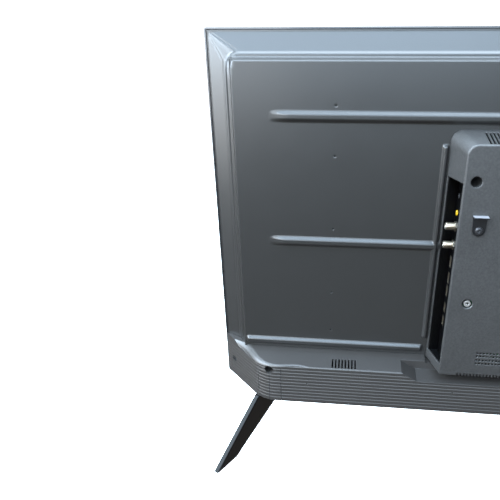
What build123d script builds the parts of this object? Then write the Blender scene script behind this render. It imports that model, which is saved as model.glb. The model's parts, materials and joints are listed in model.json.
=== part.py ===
"""Flat screen television on two splayed legs, about 39 inches across the screen.

Millimetres. +Z is up, the screen faces -Y, and +X is to the right of someone watching it.
The origin is on the floor, under the middle of the set.
"""

from build123d import *
from math import atan2, cos, degrees, radians, sin, tan
import os

os.makedirs("parts", exist_ok=True)

# Overall size
tv_width = 871.0
tv_height = 496.5
tv_depth = 84.0
leg_height = 75.0
overrun = 6.0
fit_gap = 0.3

# Screen and the frames that hold it
screen_width = 853.6
screen_height = 480.2
reveal = 0.6
bezel_front = 2.2
bezel_wall = 2.0
corner_radius = 3.0
rim_depth = 16.0
cell_gap = 0.3
cell_margin = 3.5
cell_thickness = 1.4
ledge_thickness = 1.2
ledge_reach = 3.2
film_thickness = 0.35
plate_thickness = 1.5
plate_frame_width = 10.0

# Back pan, a steel pressing with a bevelled edge
sheet = 1.0
pan_gap = 0.5
ring_width = 2.0
ring_sink = 0.6
bevel_width = 22.0
bevel_rise = 11.6
roll_width = 2.5
roll_rise = 3.4
land_width = 4.0
land_rise = 1.0
step_width = 3.0
bead_height = 4.0
bead_width = 12.0
bead_taper = 38.0
top_bead_length = 704.0
top_bead_drop = 98.7
side_bead_length = 219.0
side_bead_drop = 260.5
fold_bead_drop = 418.5
fold_bead_width = 9.0
frame_bead_width = 5.6
frame_bead_gap = 2.0
frame_bead_low = 95.0
frame_bead_high = 367.5
pin_hole_radius = 1.3

# Backlight
bar_count = 6
bar_pitch = 76.0
bar_length = 760.0
bar_height = 14.0
bar_thickness = 1.2
lens_count = 8
lens_pitch = 100.0
lens_radius = 7.0
lens_tip_radius = 4.5
lens_height = 4.0
reflector_thickness = 0.8
reflector_inset = 46.0
support_column = 273.6
support_drop_shares = [0.173, 0.2943, 0.487, 0.6757, 0.7977]
support_radius = 5.0
support_tip_radius = 1.2
support_pin_radius = 1.1
support_recess = 0.8

# Electronics cover, the box in the middle of the back
box_height = 40.0
box_half_width = 136.4
box_top = 385.0
box_bottom = 63.0
box_draft = 12.8
box_top_draft = 10.4
box_corner = 14.0
box_rear_corner = 12.0
box_edge = 2.0
box_low_corner = 4.0
cover_wall = 2.2
vent_width = 2.3
vent_pitch = 4.3
vent_half_run = 99.0
vent_margin = 6.0
vent_edge_margin = 3.2
grille_hole = 2.5
grille_pitch = 4.3
grille_half_run = 78.0
grille_height_shares = [0.0672, 0.084, 0.1033, 0.1182]
low_vent_length = 26.0
low_vent_rise = 4.4
well_radius = 6.5
well_wall = 1.5
well_floor = 2.0
well_lift = 6.0
upper_well_x = 110.0
upper_well_z = 332.5
lower_well_z = 115.0

# Connector bay in the cover's right side, and the mains bay in its left side
bay_top = 329.7
bay_bottom = 79.3
bay_floor = 121.5
bay_liner = 1.6
bay_foot = 2.0
mains_bay_top = 160.0
mains_bay_bottom = 95.0

# Wall mount, 200 by 100 mm
mount_width = 200.0
mount_height = 100.0
mount_lower_z = 174.3
mount_radius = 4.3
mount_bore = 2.0
mount_bore_depth = 14.0
mount_sink = 1.0
mount_hole = 6.0
mount_hole_edge = 1.0

# Lower rear cover
chin_setback = 1.0
chin_height = 61.0
chin_rise = 6.5
chin_wall = 2.5
chin_corner = 47.0
chin_roll_drop = 8.5
chin_roll_width = 11.0
chin_roll_shares = [1.0, 0.86, 0.7, 0.55, 0.4, 0.27, 0.14]
chin_turn = 45.0
chin_edge = 1.2
rib_count = 11
rib_groove = 1.3
rib_depth = 0.6
notch_edge = 1.2
notch_half_width = 151.5
notch_flank = 21.5
notch_depth = 13.0
notch_step = 5.5
notch_step_y = 14.0
chin_slot_count = 8
chin_slot_pitch = 4.55
chin_slot_width = 2.1
chin_slot_length = 17.0
chin_slot_x = 252.8
chin_hole_radius = 3.5
chin_hole_x = 421.0
chin_hole_z = 31.0
chin_boss_radius = 4.8
chin_boss_lift = 8.0
dimple_radius = 1.2
dimple_depth = 1.0
dimple_z = 33.0
dimple_x_shares = [0.698, 0.2335]

# Legs
leg_x = 358.5
leg_toe = 31.0
leg_thickness = 8.0
leg_top_reach = 40.0
leg_foot_reach = 132.0
leg_sole_length = 40.0
leg_crotch_reach = 5.0
leg_crotch_drop = 30.7
leg_edge = 1.2
pad_thickness = 2.0
pad_inset = 1.5
hub_half_width = 13.0
hub_half_depth = 26.0
hub_height = 4.0
stub_front = 8.0
stub_rear = 29.0
stub_height = 33.0
tongue_half_width = 9.0
tongue_thickness = 8.0
socket_half_width = 17.0
socket_height = 51.0
seam_width = 0.8
leg_screw_z = 52.5
leg_screw_radius = 2.0
leg_screw_head = 4.2
leg_screw_head_height = 2.6
leg_screw_length = 18.0
bracket_plate = 2.0
bracket_depth = 14.0
bracket_half_width = 16.0
bracket_half_height = 8.0

# Circuit boards
board_thickness = 1.6
board_lift = 10.0
board_edge = 3.0
main_board_inner = 22.0
power_board_inner = 18.0
board_low = 105.0
board_high = 323.0
tcon_half_width = 60.0
tcon_low = 71.5
tcon_high = 97.0
post_radius = 3.2
post_bore = 1.5
screw_radius = 1.35
screw_head = 2.9
screw_head_height = 1.9
screw_length = 7.0
chin_screw_length = 6.5
transformer_size = 34.0
transformer_height = 20.0
transformer_flange = 3.0
transformer_side = 12.0
transformer_drop = 70.0
capacitor_count = 3
capacitor_radius = 7.0
capacitor_height = 24.0
capacitor_pitch = 20.0
capacitor_inset = 10.0
capacitor_low = 30.0
sink_inset = 30.0
sink_size = 32.0
sink_base = 2.0
sink_height = 12.0
sink_fins = 6
sink_fin = 1.4

# Connectors, placed down the bay as shares of its height
jack_drop_share = 0.085
av_drop_share = 0.17
antenna_drop_shares = [0.233, 0.331]
hdmi_drop_shares = [0.434, 0.526, 0.600]
usb_drop_shares = [0.700, 0.780]
antenna_axis_lift = 8.4
antenna_radius = 4.76
antenna_neck_radius = 4.4
antenna_relief = 0.5
antenna_length = 13.4
antenna_bore = 1.4
antenna_can_half = 7.0
nut_across = 11.0
nut_height = 2.4
jack_radius = 3.0
jack_bore = 1.8
jack_bore_depth = 12.0
jack_depth = 14.0
av_radius = 3.3
av_bore = 1.8
av_stand = 1.0
hdmi_width = 15.0
hdmi_height = 5.6
usb_width = 13.4
usb_height = 6.0
shell_wall = 0.5
tongue_height = 1.2
plug_depth = 11.0
inlet_width = 18.0
inlet_height = 10.5
inlet_depth = 20.0
inlet_pin_radius = 1.2
inlet_pin_spacing = 8.6

# Cable bracket on the upper right wall mount
clip_half_width = 8.5
clip_waist_share = 0.88
clip_thickness = 1.5
clip_rise = 18.2
clip_flange = 9.0
clip_screw_head = 4.8
clip_screw_head_height = 3.0
clip_screw_length = 13.0

# Speakers
speaker_length = 110.0
speaker_x = 235.0
speaker_height = 32.0
speaker_front = 6.0
speaker_rear = 35.0
cone_radius = 12.0
cone_throat = 5.0
cone_height = 8.0
sound_slot_count = 8
sound_slot_pitch = 5.0
sound_slot_width = 2.4
sound_slot_length = 24.0

# Sensor and power button pod under the screen's lower edge
pod_width = 64.0
pod_depth = 15.0
pod_inset = 0.5
pod_drop = 9.0
pod_wall = 1.2
window_width = 14.0
window_x = 15.0
key_board_width = 52.0
key_board_thickness = 1.0
button_x = -12.0
button_width = 12.0
button_depth = 6.0
button_stand = 1.0
button_flange = 1.2
button_rim = 1.0
plunger_radius = 1.6
plunger_gap = 0.08
switch_size = 6.0
switch_height = 3.4
switch_throw = 1.0
post_length = 0.6

# Positions worked out from the sizes above
half_width = tv_width / 2
front_y = -tv_depth / 2
rear_y = tv_depth / 2
rim_y = front_y + rim_depth
pan_y = rear_y - box_height
chin_y = rear_y - chin_setback
floor_z = leg_height
top_z = leg_height + tv_height
mid_z = leg_height + tv_height / 2
cell_front = front_y + bezel_front + cell_gap
cell_rear = cell_front + cell_thickness
ledge_rear = cell_rear + ledge_thickness
film_mid = ledge_rear + film_thickness
film_rear = film_mid + film_thickness
plate_rear = film_rear + plate_thickness
cell_width = screen_width + 2 * cell_margin
cell_height = screen_height + 2 * cell_margin
pan_inset = bezel_wall + pan_gap
pan_inside = pan_y - sheet
bar_front = pan_inside - bar_thickness
reflector_front = bar_front - reflector_thickness
board_y = pan_y + board_lift
board_top = board_y + board_thickness
bay_rear = rear_y - cover_wall
bay_front = pan_y + bay_foot
mount_z = [floor_z + mount_lower_z, floor_z + mount_lower_z + mount_height]
mount_x = mount_width / 2
mount_end = rear_y - mount_sink
chin_top = floor_z + chin_height
chin_top_front = chin_top + chin_rise
wells = [
    (upper_well_x, floor_z + upper_well_z),
    (-upper_well_x, floor_z + upper_well_z),
    (0, floor_z + lower_well_z),
]
well_base = pan_y + well_lift


def upright(y):
    """Sketch plane at depth y, with its x along +X and its y along +Z."""
    return Plane.XZ.offset(-y)


def block(x, y, z, mode=Mode.ADD):
    """Box between the low and high values of x, y and z."""
    with Locations(((x[0] + x[1]) / 2, (y[0] + y[1]) / 2, (z[0] + z[1]) / 2)):
        Box(abs(x[1] - x[0]), abs(y[1] - y[0]), abs(z[1] - z[0]), mode=mode)


def rod_y(x, z, y, radius, mode=Mode.ADD):
    """Cylinder along Y between the two values of y."""
    with Locations(Location((x, (y[0] + y[1]) / 2, z), (90, 0, 0))):
        Cylinder(radius, y[1] - y[0], mode=mode)


def rod_x(x, y, z, radius, mode=Mode.ADD):
    """Cylinder along X between the two values of x."""
    with Locations(Location(((x[0] + x[1]) / 2, y, z), (0, 90, 0))):
        Cylinder(radius, x[1] - x[0], mode=mode)


def rod_z(x, y, z, radius, mode=Mode.ADD):
    """Cylinder along Z between the two values of z."""
    with Locations((x, y, (z[0] + z[1]) / 2)):
        Cylinder(radius, z[1] - z[0], mode=mode)


def finish(made, name):
    """Label a finished sub-part and write it."""
    made.part.label = name
    export_step(made.part, f"parts/{name}.step")


# Front bezel: a thin frame round the screen, with a wall that reaches back over the pan
with BuildPart() as front_bezel:
    with BuildSketch(upright(front_y)):
        with Locations((0, mid_z)):
            RectangleRounded(tv_width, tv_height, corner_radius)
    extrude(amount=-rim_depth)
    with BuildSketch(upright(front_y)):
        with Locations((0, mid_z)):
            Rectangle(screen_width + 2 * reveal, screen_height + 2 * reveal)
    extrude(amount=-rim_depth, mode=Mode.SUBTRACT)
    with BuildSketch(upright(front_y + bezel_front)):
        with Locations((0, mid_z)):
            Rectangle(tv_width - 2 * bezel_wall, tv_height - 2 * bezel_wall)
    extrude(amount=-rim_depth, mode=Mode.SUBTRACT)
finish(front_bezel, "front_bezel")

# Liquid crystal cell
with BuildPart() as lcd_cell:
    with BuildSketch(upright(cell_front)):
        with Locations((0, mid_z)):
            Rectangle(cell_width, cell_height)
    extrude(amount=-cell_thickness)
finish(lcd_cell, "lcd_cell")

# Middle frame: carries the cell on its ledge and holds the films behind it
with BuildPart() as mid_frame:
    with BuildSketch(upright(cell_front)):
        with Locations((0, mid_z)):
            Rectangle(tv_width - 2 * pan_inset, tv_height - 2 * pan_inset)
            Rectangle(cell_width + 2 * fit_gap, cell_height + 2 * fit_gap, mode=Mode.SUBTRACT)
    extrude(amount=-(plate_rear - cell_front))
    with BuildSketch(upright(cell_rear)):
        with Locations((0, mid_z)):
            Rectangle(cell_width + 2 * fit_gap, cell_height + 2 * fit_gap)
            Rectangle(cell_width - 2 * ledge_reach, cell_height - 2 * ledge_reach, mode=Mode.SUBTRACT)
    extrude(amount=-ledge_thickness)
finish(mid_frame, "mid_frame")

# Optical films and the diffuser plate
for name, low, high in (
    ("prism_film", ledge_rear, film_mid),
    ("diffuser_film", film_mid, film_rear),
    ("diffuser_plate", film_rear, plate_rear),
):
    with BuildPart() as layer:
        with BuildSketch(upright(low)):
            with Locations((0, mid_z)):
                Rectangle(cell_width, cell_height)
        extrude(amount=low - high)
    finish(layer, name)

# Profile of the pan from its edge to its raised floor, as inset and depth
pan_profile = [(pan_inset + ring_width, rim_y - ring_sink)]
for width, rise in (
    (bevel_width, bevel_rise),
    (roll_width, roll_rise),
    (land_width, land_rise),
):
    inset, depth = pan_profile[-1]
    pan_profile.append((inset + width, depth + rise))
pan_profile.append((pan_profile[-1][0] + step_width, pan_y))
floor_inset = pan_profile[-1][0]


def pan_block(shrink):
    """Solid body of the pan, with every face drawn in by shrink."""
    with BuildPart() as body:
        with BuildSketch(upright(plate_rear)):
            with Locations((0, mid_z)):
                Rectangle(tv_width - 2 * (pan_inset + shrink), tv_height - 2 * (pan_inset + shrink))
        extrude(amount=plate_rear - (rim_y - ring_sink - shrink))
        for (inset_a, y_a), (inset_b, y_b) in zip(pan_profile[:-1], pan_profile[1:]):
            for inset, y in ((inset_a, y_a), (inset_b, y_b)):
                with BuildSketch(upright(y - shrink)):
                    with Locations((0, mid_z)):
                        Rectangle(tv_width - 2 * (inset + shrink), tv_height - 2 * (inset + shrink))
            loft(ruled=True)
    return body.part


def pan_beads(shrink):
    """Stamped beads on the pan's floor, drawn in by shrink."""
    frame_x = box_half_width + frame_bead_gap + frame_bead_width / 2
    frame_low = floor_z + frame_bead_low
    frame_high = floor_z + frame_bead_high
    side_x = frame_x + side_bead_length / 2
    fold_end = half_width - floor_inset - sheet
    fold_x = (frame_x + fold_end) / 2
    root = pan_y - sheet - shrink
    rise = bead_height + sheet
    rows = [
        (0, top_z - top_bead_drop, top_bead_length, bead_width, 0),
        (side_x, top_z - side_bead_drop, side_bead_length, bead_width, 0),
        (-side_x, top_z - side_bead_drop, side_bead_length, bead_width, 0),
        (fold_x, top_z - fold_bead_drop, fold_end - frame_x, fold_bead_width, 0),
        (-fold_x, top_z - fold_bead_drop, fold_end - frame_x, fold_bead_width, 0),
        (frame_x, (frame_low + frame_high) / 2, frame_high - frame_low, frame_bead_width, 90),
        (-frame_x, (frame_low + frame_high) / 2, frame_high - frame_low, frame_bead_width, 90),
    ]
    with BuildPart() as beads:
        for x, z, length, width, turn in rows:
            base = width + 2 * sheet * tan(radians(bead_taper)) - 2 * shrink
            taper = min(bead_taper, degrees(atan2(base / 3, rise)))
            with BuildSketch(upright(root)):
                with Locations(Location((x, z), turn)):
                    SlotOverall(length - 2 * shrink, base)
            extrude(amount=-rise, taper=taper)
    return beads.part


pan_outer = pan_block(0)
pan_inner = pan_block(sheet)
support_spots = [
    (x, top_z - share * tv_height)
    for x in (-support_column, 0, support_column)
    for share in support_drop_shares
]
with BuildPart() as back_pan:
    add(pan_outer)
    add(pan_beads(0))
    add(pan_inner, mode=Mode.SUBTRACT)
    add(pan_beads(sheet), mode=Mode.SUBTRACT)
    for x, z in support_spots:
        rod_y(x, z, (pan_inside - overrun, pan_y + overrun), pin_hole_radius, Mode.SUBTRACT)
    for x in (-chin_hole_x, chin_hole_x):
        rod_y(x, floor_z + chin_hole_z, (rim_y - overrun, pan_y), screw_radius, Mode.SUBTRACT)
finish(back_pan, "back_pan")

# Frame that carries the diffuser plate's edge on the pan's bevel
plate_frame_inset = pan_inset + sheet + fit_gap
with BuildPart() as plate_frame:
    with BuildSketch(upright(plate_rear)):
        with Locations((0, mid_z)):
            Rectangle(tv_width - 2 * plate_frame_inset, tv_height - 2 * plate_frame_inset)
            Rectangle(
                tv_width - 2 * (plate_frame_inset + plate_frame_width),
                tv_height - 2 * (plate_frame_inset + plate_frame_width),
                mode=Mode.SUBTRACT,
            )
    extrude(amount=plate_rear - pan_profile[1][1])
    add(pan_inner, mode=Mode.INTERSECT)
finish(plate_frame, "plate_frame")

# Backlight bars on the pan's floor, with a lens over each lamp
bar_rows = [mid_z + (i - (bar_count - 1) / 2) * bar_pitch for i in range(bar_count)]
lens_columns = [(i - (lens_count - 1) / 2) * lens_pitch for i in range(lens_count)]
with BuildPart() as led_bars:
    for z in bar_rows:
        block(
            (-bar_length / 2, bar_length / 2),
            (bar_front, pan_inside),
            (z - bar_height / 2, z + bar_height / 2),
        )
finish(led_bars, "led_bars")

lens_spots = [(x, z) for x in lens_columns for z in bar_rows]
with BuildPart() as led_lenses:
    with Locations([Location((x, bar_front - lens_height / 2, z), (90, 0, 0)) for x, z in lens_spots]):
        Cone(lens_radius, lens_tip_radius, lens_height)
finish(led_lenses, "led_lenses")

# White reflector tray over the bars
reflector_rim = plate_frame_inset + plate_frame_width + fit_gap
with BuildPart() as reflector_sheet:
    with BuildSketch(upright(bar_front)):
        with Locations((0, mid_z)):
            Rectangle(tv_width - 2 * reflector_inset, tv_height - 2 * reflector_inset)
    with BuildSketch(upright(plate_rear)):
        with Locations((0, mid_z)):
            Rectangle(tv_width - 2 * reflector_rim, tv_height - 2 * reflector_rim)
    loft(ruled=True)
    with BuildSketch(upright(reflector_front)):
        with Locations((0, mid_z)):
            Rectangle(
                tv_width - 2 * (reflector_inset + reflector_thickness),
                tv_height - 2 * (reflector_inset + reflector_thickness),
            )
    with BuildSketch(upright(plate_rear)):
        with Locations((0, mid_z)):
            Rectangle(
                tv_width - 2 * (reflector_rim + reflector_thickness),
                tv_height - 2 * (reflector_rim + reflector_thickness),
            )
    loft(ruled=True, mode=Mode.SUBTRACT)
    sheet_run = (reflector_front - overrun, bar_front + overrun)
    for x, z in lens_spots:
        rod_y(x, z, sheet_run, lens_radius + fit_gap, Mode.SUBTRACT)
    for x, z in support_spots:
        rod_y(x, z, sheet_run, pin_hole_radius, Mode.SUBTRACT)
finish(reflector_sheet, "reflector_sheet")

# Cone supports that keep the diffuser plate flat, each snapped through a hole in the pan
support_tip = plate_rear + fit_gap
with BuildPart() as diffuser_supports:
    for x, z in support_spots:
        with Locations(Location((x, (support_tip + reflector_front) / 2, z), (90, 0, 0))):
            Cone(support_radius, support_tip_radius, reflector_front - support_tip)
        rod_y(x, z, (reflector_front, pan_y - support_recess), support_pin_radius)
finish(diffuser_supports, "diffuser_supports")


def cover_block(shrink):
    """Solid body of the electronics cover, drawn in by shrink on all but its open front."""
    low_z = floor_z + box_bottom + shrink
    high_z = floor_z + box_top - shrink
    reach = (box_height - shrink) / box_height
    with BuildPart() as body:
        for y, share, corner in (
            (pan_y, 0, box_corner - shrink),
            (rear_y - shrink, reach, box_rear_corner - shrink),
        ):
            half = box_half_width - shrink - share * box_draft
            high = high_z - share * box_top_draft
            with BuildSketch(upright(y)) as outline:
                with Locations((0, (low_z + high) / 2)):
                    Rectangle(2 * half, high - low_z)
                fillet(outline.vertices().group_by(Axis.Y)[-1], corner)
                fillet(outline.vertices().group_by(Axis.Y)[0], box_low_corner - shrink)
        loft(ruled=True)
        if not shrink:
            fillet(body.faces().sort_by(Axis.Y)[-1].edges(), box_edge)
    return body.part


def vent_columns(half_run, pitch):
    """Middles of a row of vents that fills the run each side of the middle."""
    count = int(half_run / pitch)
    return [i * pitch for i in range(-count, count + 1)]


cover_outer = cover_block(0)
cover_inner = cover_block(cover_wall)
bay_z = (floor_z + bay_bottom, floor_z + bay_top)
mains_z = (floor_z + mains_bay_bottom, floor_z + mains_bay_top)
bay_out = box_half_width + overrun

# Electronics cover, with its vents, screw wells, wall mount holes and the two bays
with BuildPart() as electronics_cover:
    add(cover_outer)
    add(cover_inner, mode=Mode.SUBTRACT)
    for x, z in wells:
        rod_y(x, z, (well_base, rear_y - box_edge), well_radius + well_wall)
    for x, z in wells:
        rod_y(x, z, (well_base + well_floor, rear_y + overrun), well_radius, Mode.SUBTRACT)
        rod_y(x, z, (well_base - overrun, rear_y), screw_radius + fit_gap, Mode.SUBTRACT)
    for x in (-mount_x, mount_x):
        for z in mount_z:
            rod_y(x, z, (rear_y - cover_wall - overrun, rear_y + overrun), mount_hole, Mode.SUBTRACT)
            with Locations(Location((x, rear_y - mount_hole_edge / 2, z), (-90, 0, 0))):
                Cone(mount_hole, mount_hole + mount_hole_edge, mount_hole_edge, mode=Mode.SUBTRACT)
    block((bay_floor, bay_out), (bay_front, bay_rear), bay_z, Mode.SUBTRACT)
    block((-bay_out, -bay_floor), (bay_front, bay_rear), mains_z, Mode.SUBTRACT)
    block(
        (bay_floor - bay_liner - fit_gap, bay_floor),
        (bay_front, bay_rear),
        (bay_z[0] - bay_liner - fit_gap, bay_z[1] + bay_liner + fit_gap),
        Mode.SUBTRACT,
    )
    # Vents in the sloped top
    for x in vent_columns(vent_half_run, vent_pitch):
        block(
            (x - vent_width / 2, x + vent_width / 2),
            (pan_y + vent_margin, rear_y - vent_edge_margin),
            (floor_z + box_top - box_top_draft - box_edge - cover_wall, floor_z + box_top + overrun),
            Mode.SUBTRACT,
        )
    # Vents along the bottom edge
    for x in vent_columns(vent_half_run, vent_pitch):
        block(
            (x - vent_width / 2, x + vent_width / 2),
            (rear_y - low_vent_length, rear_y + overrun),
            (floor_z + box_bottom - overrun, floor_z + box_bottom + low_vent_rise),
            Mode.SUBTRACT,
        )
    # Grille of small square holes low on the back
    with BuildSketch(upright(rear_y)):
        with Locations(
            [
                (x, floor_z + box_bottom + share * (box_top - box_bottom))
                for x in vent_columns(grille_half_run, grille_pitch)
                for share in grille_height_shares
            ]
        ):
            Rectangle(grille_hole, grille_hole)
    extrude(amount=cover_wall + overrun, mode=Mode.SUBTRACT)
finish(electronics_cover, "electronics_cover")


def bay_lining(side, low_high, name):
    """Plate with the socket mouths at the bottom of a side bay, and the liner of the bay's walls."""
    with BuildPart() as plate:
        block(
            (side * (bay_floor - bay_liner), side * bay_floor),
            (bay_front, bay_rear - fit_gap),
            (low_high[0] - bay_liner, low_high[1] + bay_liner),
        )
        for mouth in plate_mouths[name]:
            mouth(side)
    finish(plate, f"{name}_plate")
    with BuildPart() as liner:
        block(
            (side * bay_floor, side * bay_out),
            (bay_front, bay_rear - fit_gap),
            (low_high[0] - bay_liner, low_high[1] + bay_liner),
        )
        add(cover_block(cover_wall + fit_gap), mode=Mode.INTERSECT)
        block(
            (side * bay_floor, side * bay_out),
            (bay_front + bay_liner, bay_rear),
            low_high,
            Mode.SUBTRACT,
        )
    finish(liner, f"{name}_liner")


def bay_height(share):
    """Height in the connector bay at a share of the way down it."""
    return bay_z[1] - share * (bay_z[1] - bay_z[0])


antenna_y = board_top + antenna_axis_lift
plug_in = bay_floor - bay_liner - fit_gap - plug_depth
jack_y = board_top + jack_radius + shell_wall
av_y = board_top + av_radius
hdmi_y = (board_top + fit_gap, board_top + fit_gap + hdmi_height)
usb_y = (board_top + fit_gap, board_top + fit_gap + usb_height)
inlet_z = (mains_z[0] + mains_z[1]) / 2
inlet_y = (board_top, board_top + inlet_height)
plate_run = (bay_floor - bay_liner - overrun, bay_floor + overrun)


def slot_mouth(share, width, depth_range):
    """Opening in the connector plate for a flat socket."""
    z = bay_height(share)
    return lambda side: block(
        plate_run,
        (depth_range[0] - fit_gap, depth_range[1] + fit_gap),
        (z - width / 2 - fit_gap, z + width / 2 + fit_gap),
        Mode.SUBTRACT,
    )


def round_mouth(share, y, radius):
    """Opening in the connector plate for a round socket."""
    return lambda side: rod_x(plate_run, y, bay_height(share), radius + fit_gap, Mode.SUBTRACT)


plate_mouths = {
    "connector": [
        *[slot_mouth(share, hdmi_width, hdmi_y) for share in hdmi_drop_shares],
        *[slot_mouth(share, usb_width, usb_y) for share in usb_drop_shares],
        *[round_mouth(share, antenna_y, antenna_radius) for share in antenna_drop_shares],
        round_mouth(av_drop_share, av_y, av_radius),
        round_mouth(jack_drop_share, jack_y, jack_radius),
    ],
    "mains": [
        lambda side: block(
            (-plate_run[1], -plate_run[0]),
            (inlet_y[0] - fit_gap, inlet_y[1] + fit_gap),
            (inlet_z - inlet_width / 2 - fit_gap, inlet_z + inlet_width / 2 + fit_gap),
            Mode.SUBTRACT,
        ),
    ],
}
bay_lining(1, bay_z, "connector")
bay_lining(-1, mains_z, "mains")

# Wall mount posts, threaded at their rear ends
with BuildPart() as vesa_standoffs:
    for x in (-mount_x, mount_x):
        for z in mount_z:
            rod_y(x, z, (pan_y, mount_end), mount_radius)
            rod_y(x, z, (mount_end - mount_bore_depth, mount_end + overrun), mount_bore, Mode.SUBTRACT)
finish(vesa_standoffs, "vesa_standoffs")

# Circuit boards, each on four posts, with room for the wall mount posts
board_out = bay_floor - bay_liner - board_edge
main_x = (main_board_inner, board_out)
power_x = (-board_out, -power_board_inner)
tcon_x = (-tcon_half_width, tcon_half_width)
tall_z = (floor_z + board_low, floor_z + board_high)
tcon_z = (floor_z + tcon_low, floor_z + tcon_high)
boards = {"main_board": (main_x, tall_z), "power_board": (power_x, tall_z), "tcon_board": (tcon_x, tcon_z)}


def board_corners(x, z):
    """Screw places near the four corners of a board."""
    inset = post_radius + board_edge
    return [(a, b) for a in (x[0] + inset, x[1] - inset) for b in (z[0] + inset, z[1] - inset)]


for name, (x_range, z_range) in boards.items():
    through = (board_y - overrun, board_top + overrun)
    with BuildPart() as board:
        block(x_range, (board_y, board_top), z_range)
        for x, z in board_corners(x_range, z_range):
            rod_y(x, z, through, post_bore, Mode.SUBTRACT)
        for x in (-mount_x, mount_x):
            for z in mount_z:
                if x_range[0] < x < x_range[1] and z_range[0] < z < z_range[1]:
                    rod_y(x, z, through, mount_radius + fit_gap, Mode.SUBTRACT)
    finish(board, name)

board_spots = [spot for x, z in boards.values() for spot in board_corners(x, z)]
with BuildPart() as board_posts:
    for x, z in board_spots:
        rod_y(x, z, (pan_y, board_y), post_radius)
        rod_y(x, z, (pan_y, board_y + overrun), screw_radius, Mode.SUBTRACT)
    for x, z in wells:
        rod_y(x, z, (pan_y, well_base), post_radius)
        rod_y(x, z, (pan_y, well_base + overrun), screw_radius, Mode.SUBTRACT)
finish(board_posts, "board_posts")


def screws(name, places, shank, head, head_height, length):
    """Pan-head screws driven towards -Y, each place giving its x, z and the seat of its head."""
    with BuildPart() as group:
        for x, z, seat in places:
            rod_y(x, z, (seat - length, seat), shank)
            rod_y(x, z, (seat, seat + head_height), head)
            with Locations((x, seat + head_height, z)):
                Box(head, head_height, head / 4, mode=Mode.SUBTRACT)
                Box(head / 4, head_height, head, mode=Mode.SUBTRACT)
    finish(group, name)


screws(
    "board_screws",
    [(x, z, board_top) for x, z in board_spots],
    screw_radius,
    screw_head,
    screw_head_height,
    screw_length,
)
screws(
    "cover_screws",
    [(x, z, well_base + well_floor) for x, z in wells],
    screw_radius,
    screw_head,
    screw_head_height,
    screw_length,
)

# Larger parts on the boards
with BuildPart() as power_transformer:
    tx = power_x[0] + transformer_side + transformer_size
    tz = tall_z[1] - transformer_drop
    block(
        (tx - transformer_size / 2, tx + transformer_size / 2),
        (board_top, board_top + transformer_height),
        (tz - transformer_size / 2, tz + transformer_size / 2),
    )
    rod_z(
        tx,
        board_top + transformer_height / 2,
        (tz - transformer_size / 2 - transformer_flange, tz + transformer_size / 2 + transformer_flange),
        transformer_height / 2,
    )
finish(power_transformer, "power_transformer")

with BuildPart() as bulk_capacitors:
    for i in range(capacitor_count):
        rod_y(
            power_x[1] - capacitor_inset - capacitor_radius,
            tall_z[0] + capacitor_low + i * capacitor_pitch,
            (board_top, board_top + capacitor_height),
            capacitor_radius,
        )
finish(bulk_capacitors, "bulk_capacitors")

with BuildPart() as heatsinks:
    for x, z in (
        (main_x[0] + sink_inset, (tall_z[0] + tall_z[1]) / 2),
        (power_x[1] - sink_inset, tall_z[1] - sink_inset),
    ):
        block(
            (x - sink_size / 2, x + sink_size / 2),
            (board_top, board_top + sink_base),
            (z - sink_size / 2, z + sink_size / 2),
        )
        for i in range(sink_fins):
            fin = x - sink_size / 2 + (i + 1 / 2) * sink_size / sink_fins
            block(
                (fin - sink_fin / 2, fin + sink_fin / 2),
                (board_top + sink_base, board_top + sink_height),
                (z - sink_size / 2, z + sink_size / 2),
            )
finish(heatsinks, "heatsinks")

# Connectors on the main board, their mouths in the bay
with BuildPart() as antenna_sockets:
    for share in antenna_drop_shares:
        z = bay_height(share)
        block(
            (plug_in, bay_floor - bay_liner - fit_gap),
            (board_top, antenna_y + antenna_can_half),
            (z - antenna_can_half, z + antenna_can_half),
        )
        thread_start = bay_floor + nut_height + antenna_relief
        rod_x((bay_floor - bay_liner - fit_gap, thread_start), antenna_y, z, antenna_neck_radius)
        rod_x((thread_start, bay_floor + antenna_length), antenna_y, z, antenna_radius)
        rod_x(
            (bay_floor + antenna_length - plug_depth, bay_floor + antenna_length + overrun),
            antenna_y,
            z,
            antenna_bore,
            Mode.SUBTRACT,
        )
finish(antenna_sockets, "antenna_sockets")

with BuildPart() as antenna_nuts:
    for share in antenna_drop_shares:
        with BuildSketch(Plane.YZ.offset(bay_floor)):
            with Locations((antenna_y, bay_height(share))):
                RegularPolygon(nut_across / 2, 6, major_radius=False)
                Circle(antenna_neck_radius, mode=Mode.SUBTRACT)
        extrude(amount=nut_height)
finish(antenna_nuts, "antenna_nuts")


def socket_shells(name, shares, width, depth_range):
    """Flat metal sockets with a tongue inside, open towards +X."""
    mouth = bay_floor + shell_wall
    with BuildPart() as shells:
        for share in shares:
            z = bay_height(share)
            middle = (depth_range[0] + depth_range[1]) / 2
            block((plug_in, mouth), (board_top, depth_range[1]), (z - width / 2, z + width / 2))
            block(
                (plug_in + shell_wall, mouth + overrun),
                (depth_range[0] + shell_wall, depth_range[1] - shell_wall),
                (z - width / 2 + shell_wall, z + width / 2 - shell_wall),
                Mode.SUBTRACT,
            )
            block(
                (plug_in, mouth - 2 * shell_wall),
                (middle - tongue_height / 2, middle + tongue_height / 2),
                (z - width / 3, z + width / 3),
            )
    finish(shells, name)


socket_shells("hdmi_sockets", hdmi_drop_shares, hdmi_width, hdmi_y)
socket_shells("usb_sockets", usb_drop_shares, usb_width, usb_y)

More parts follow.
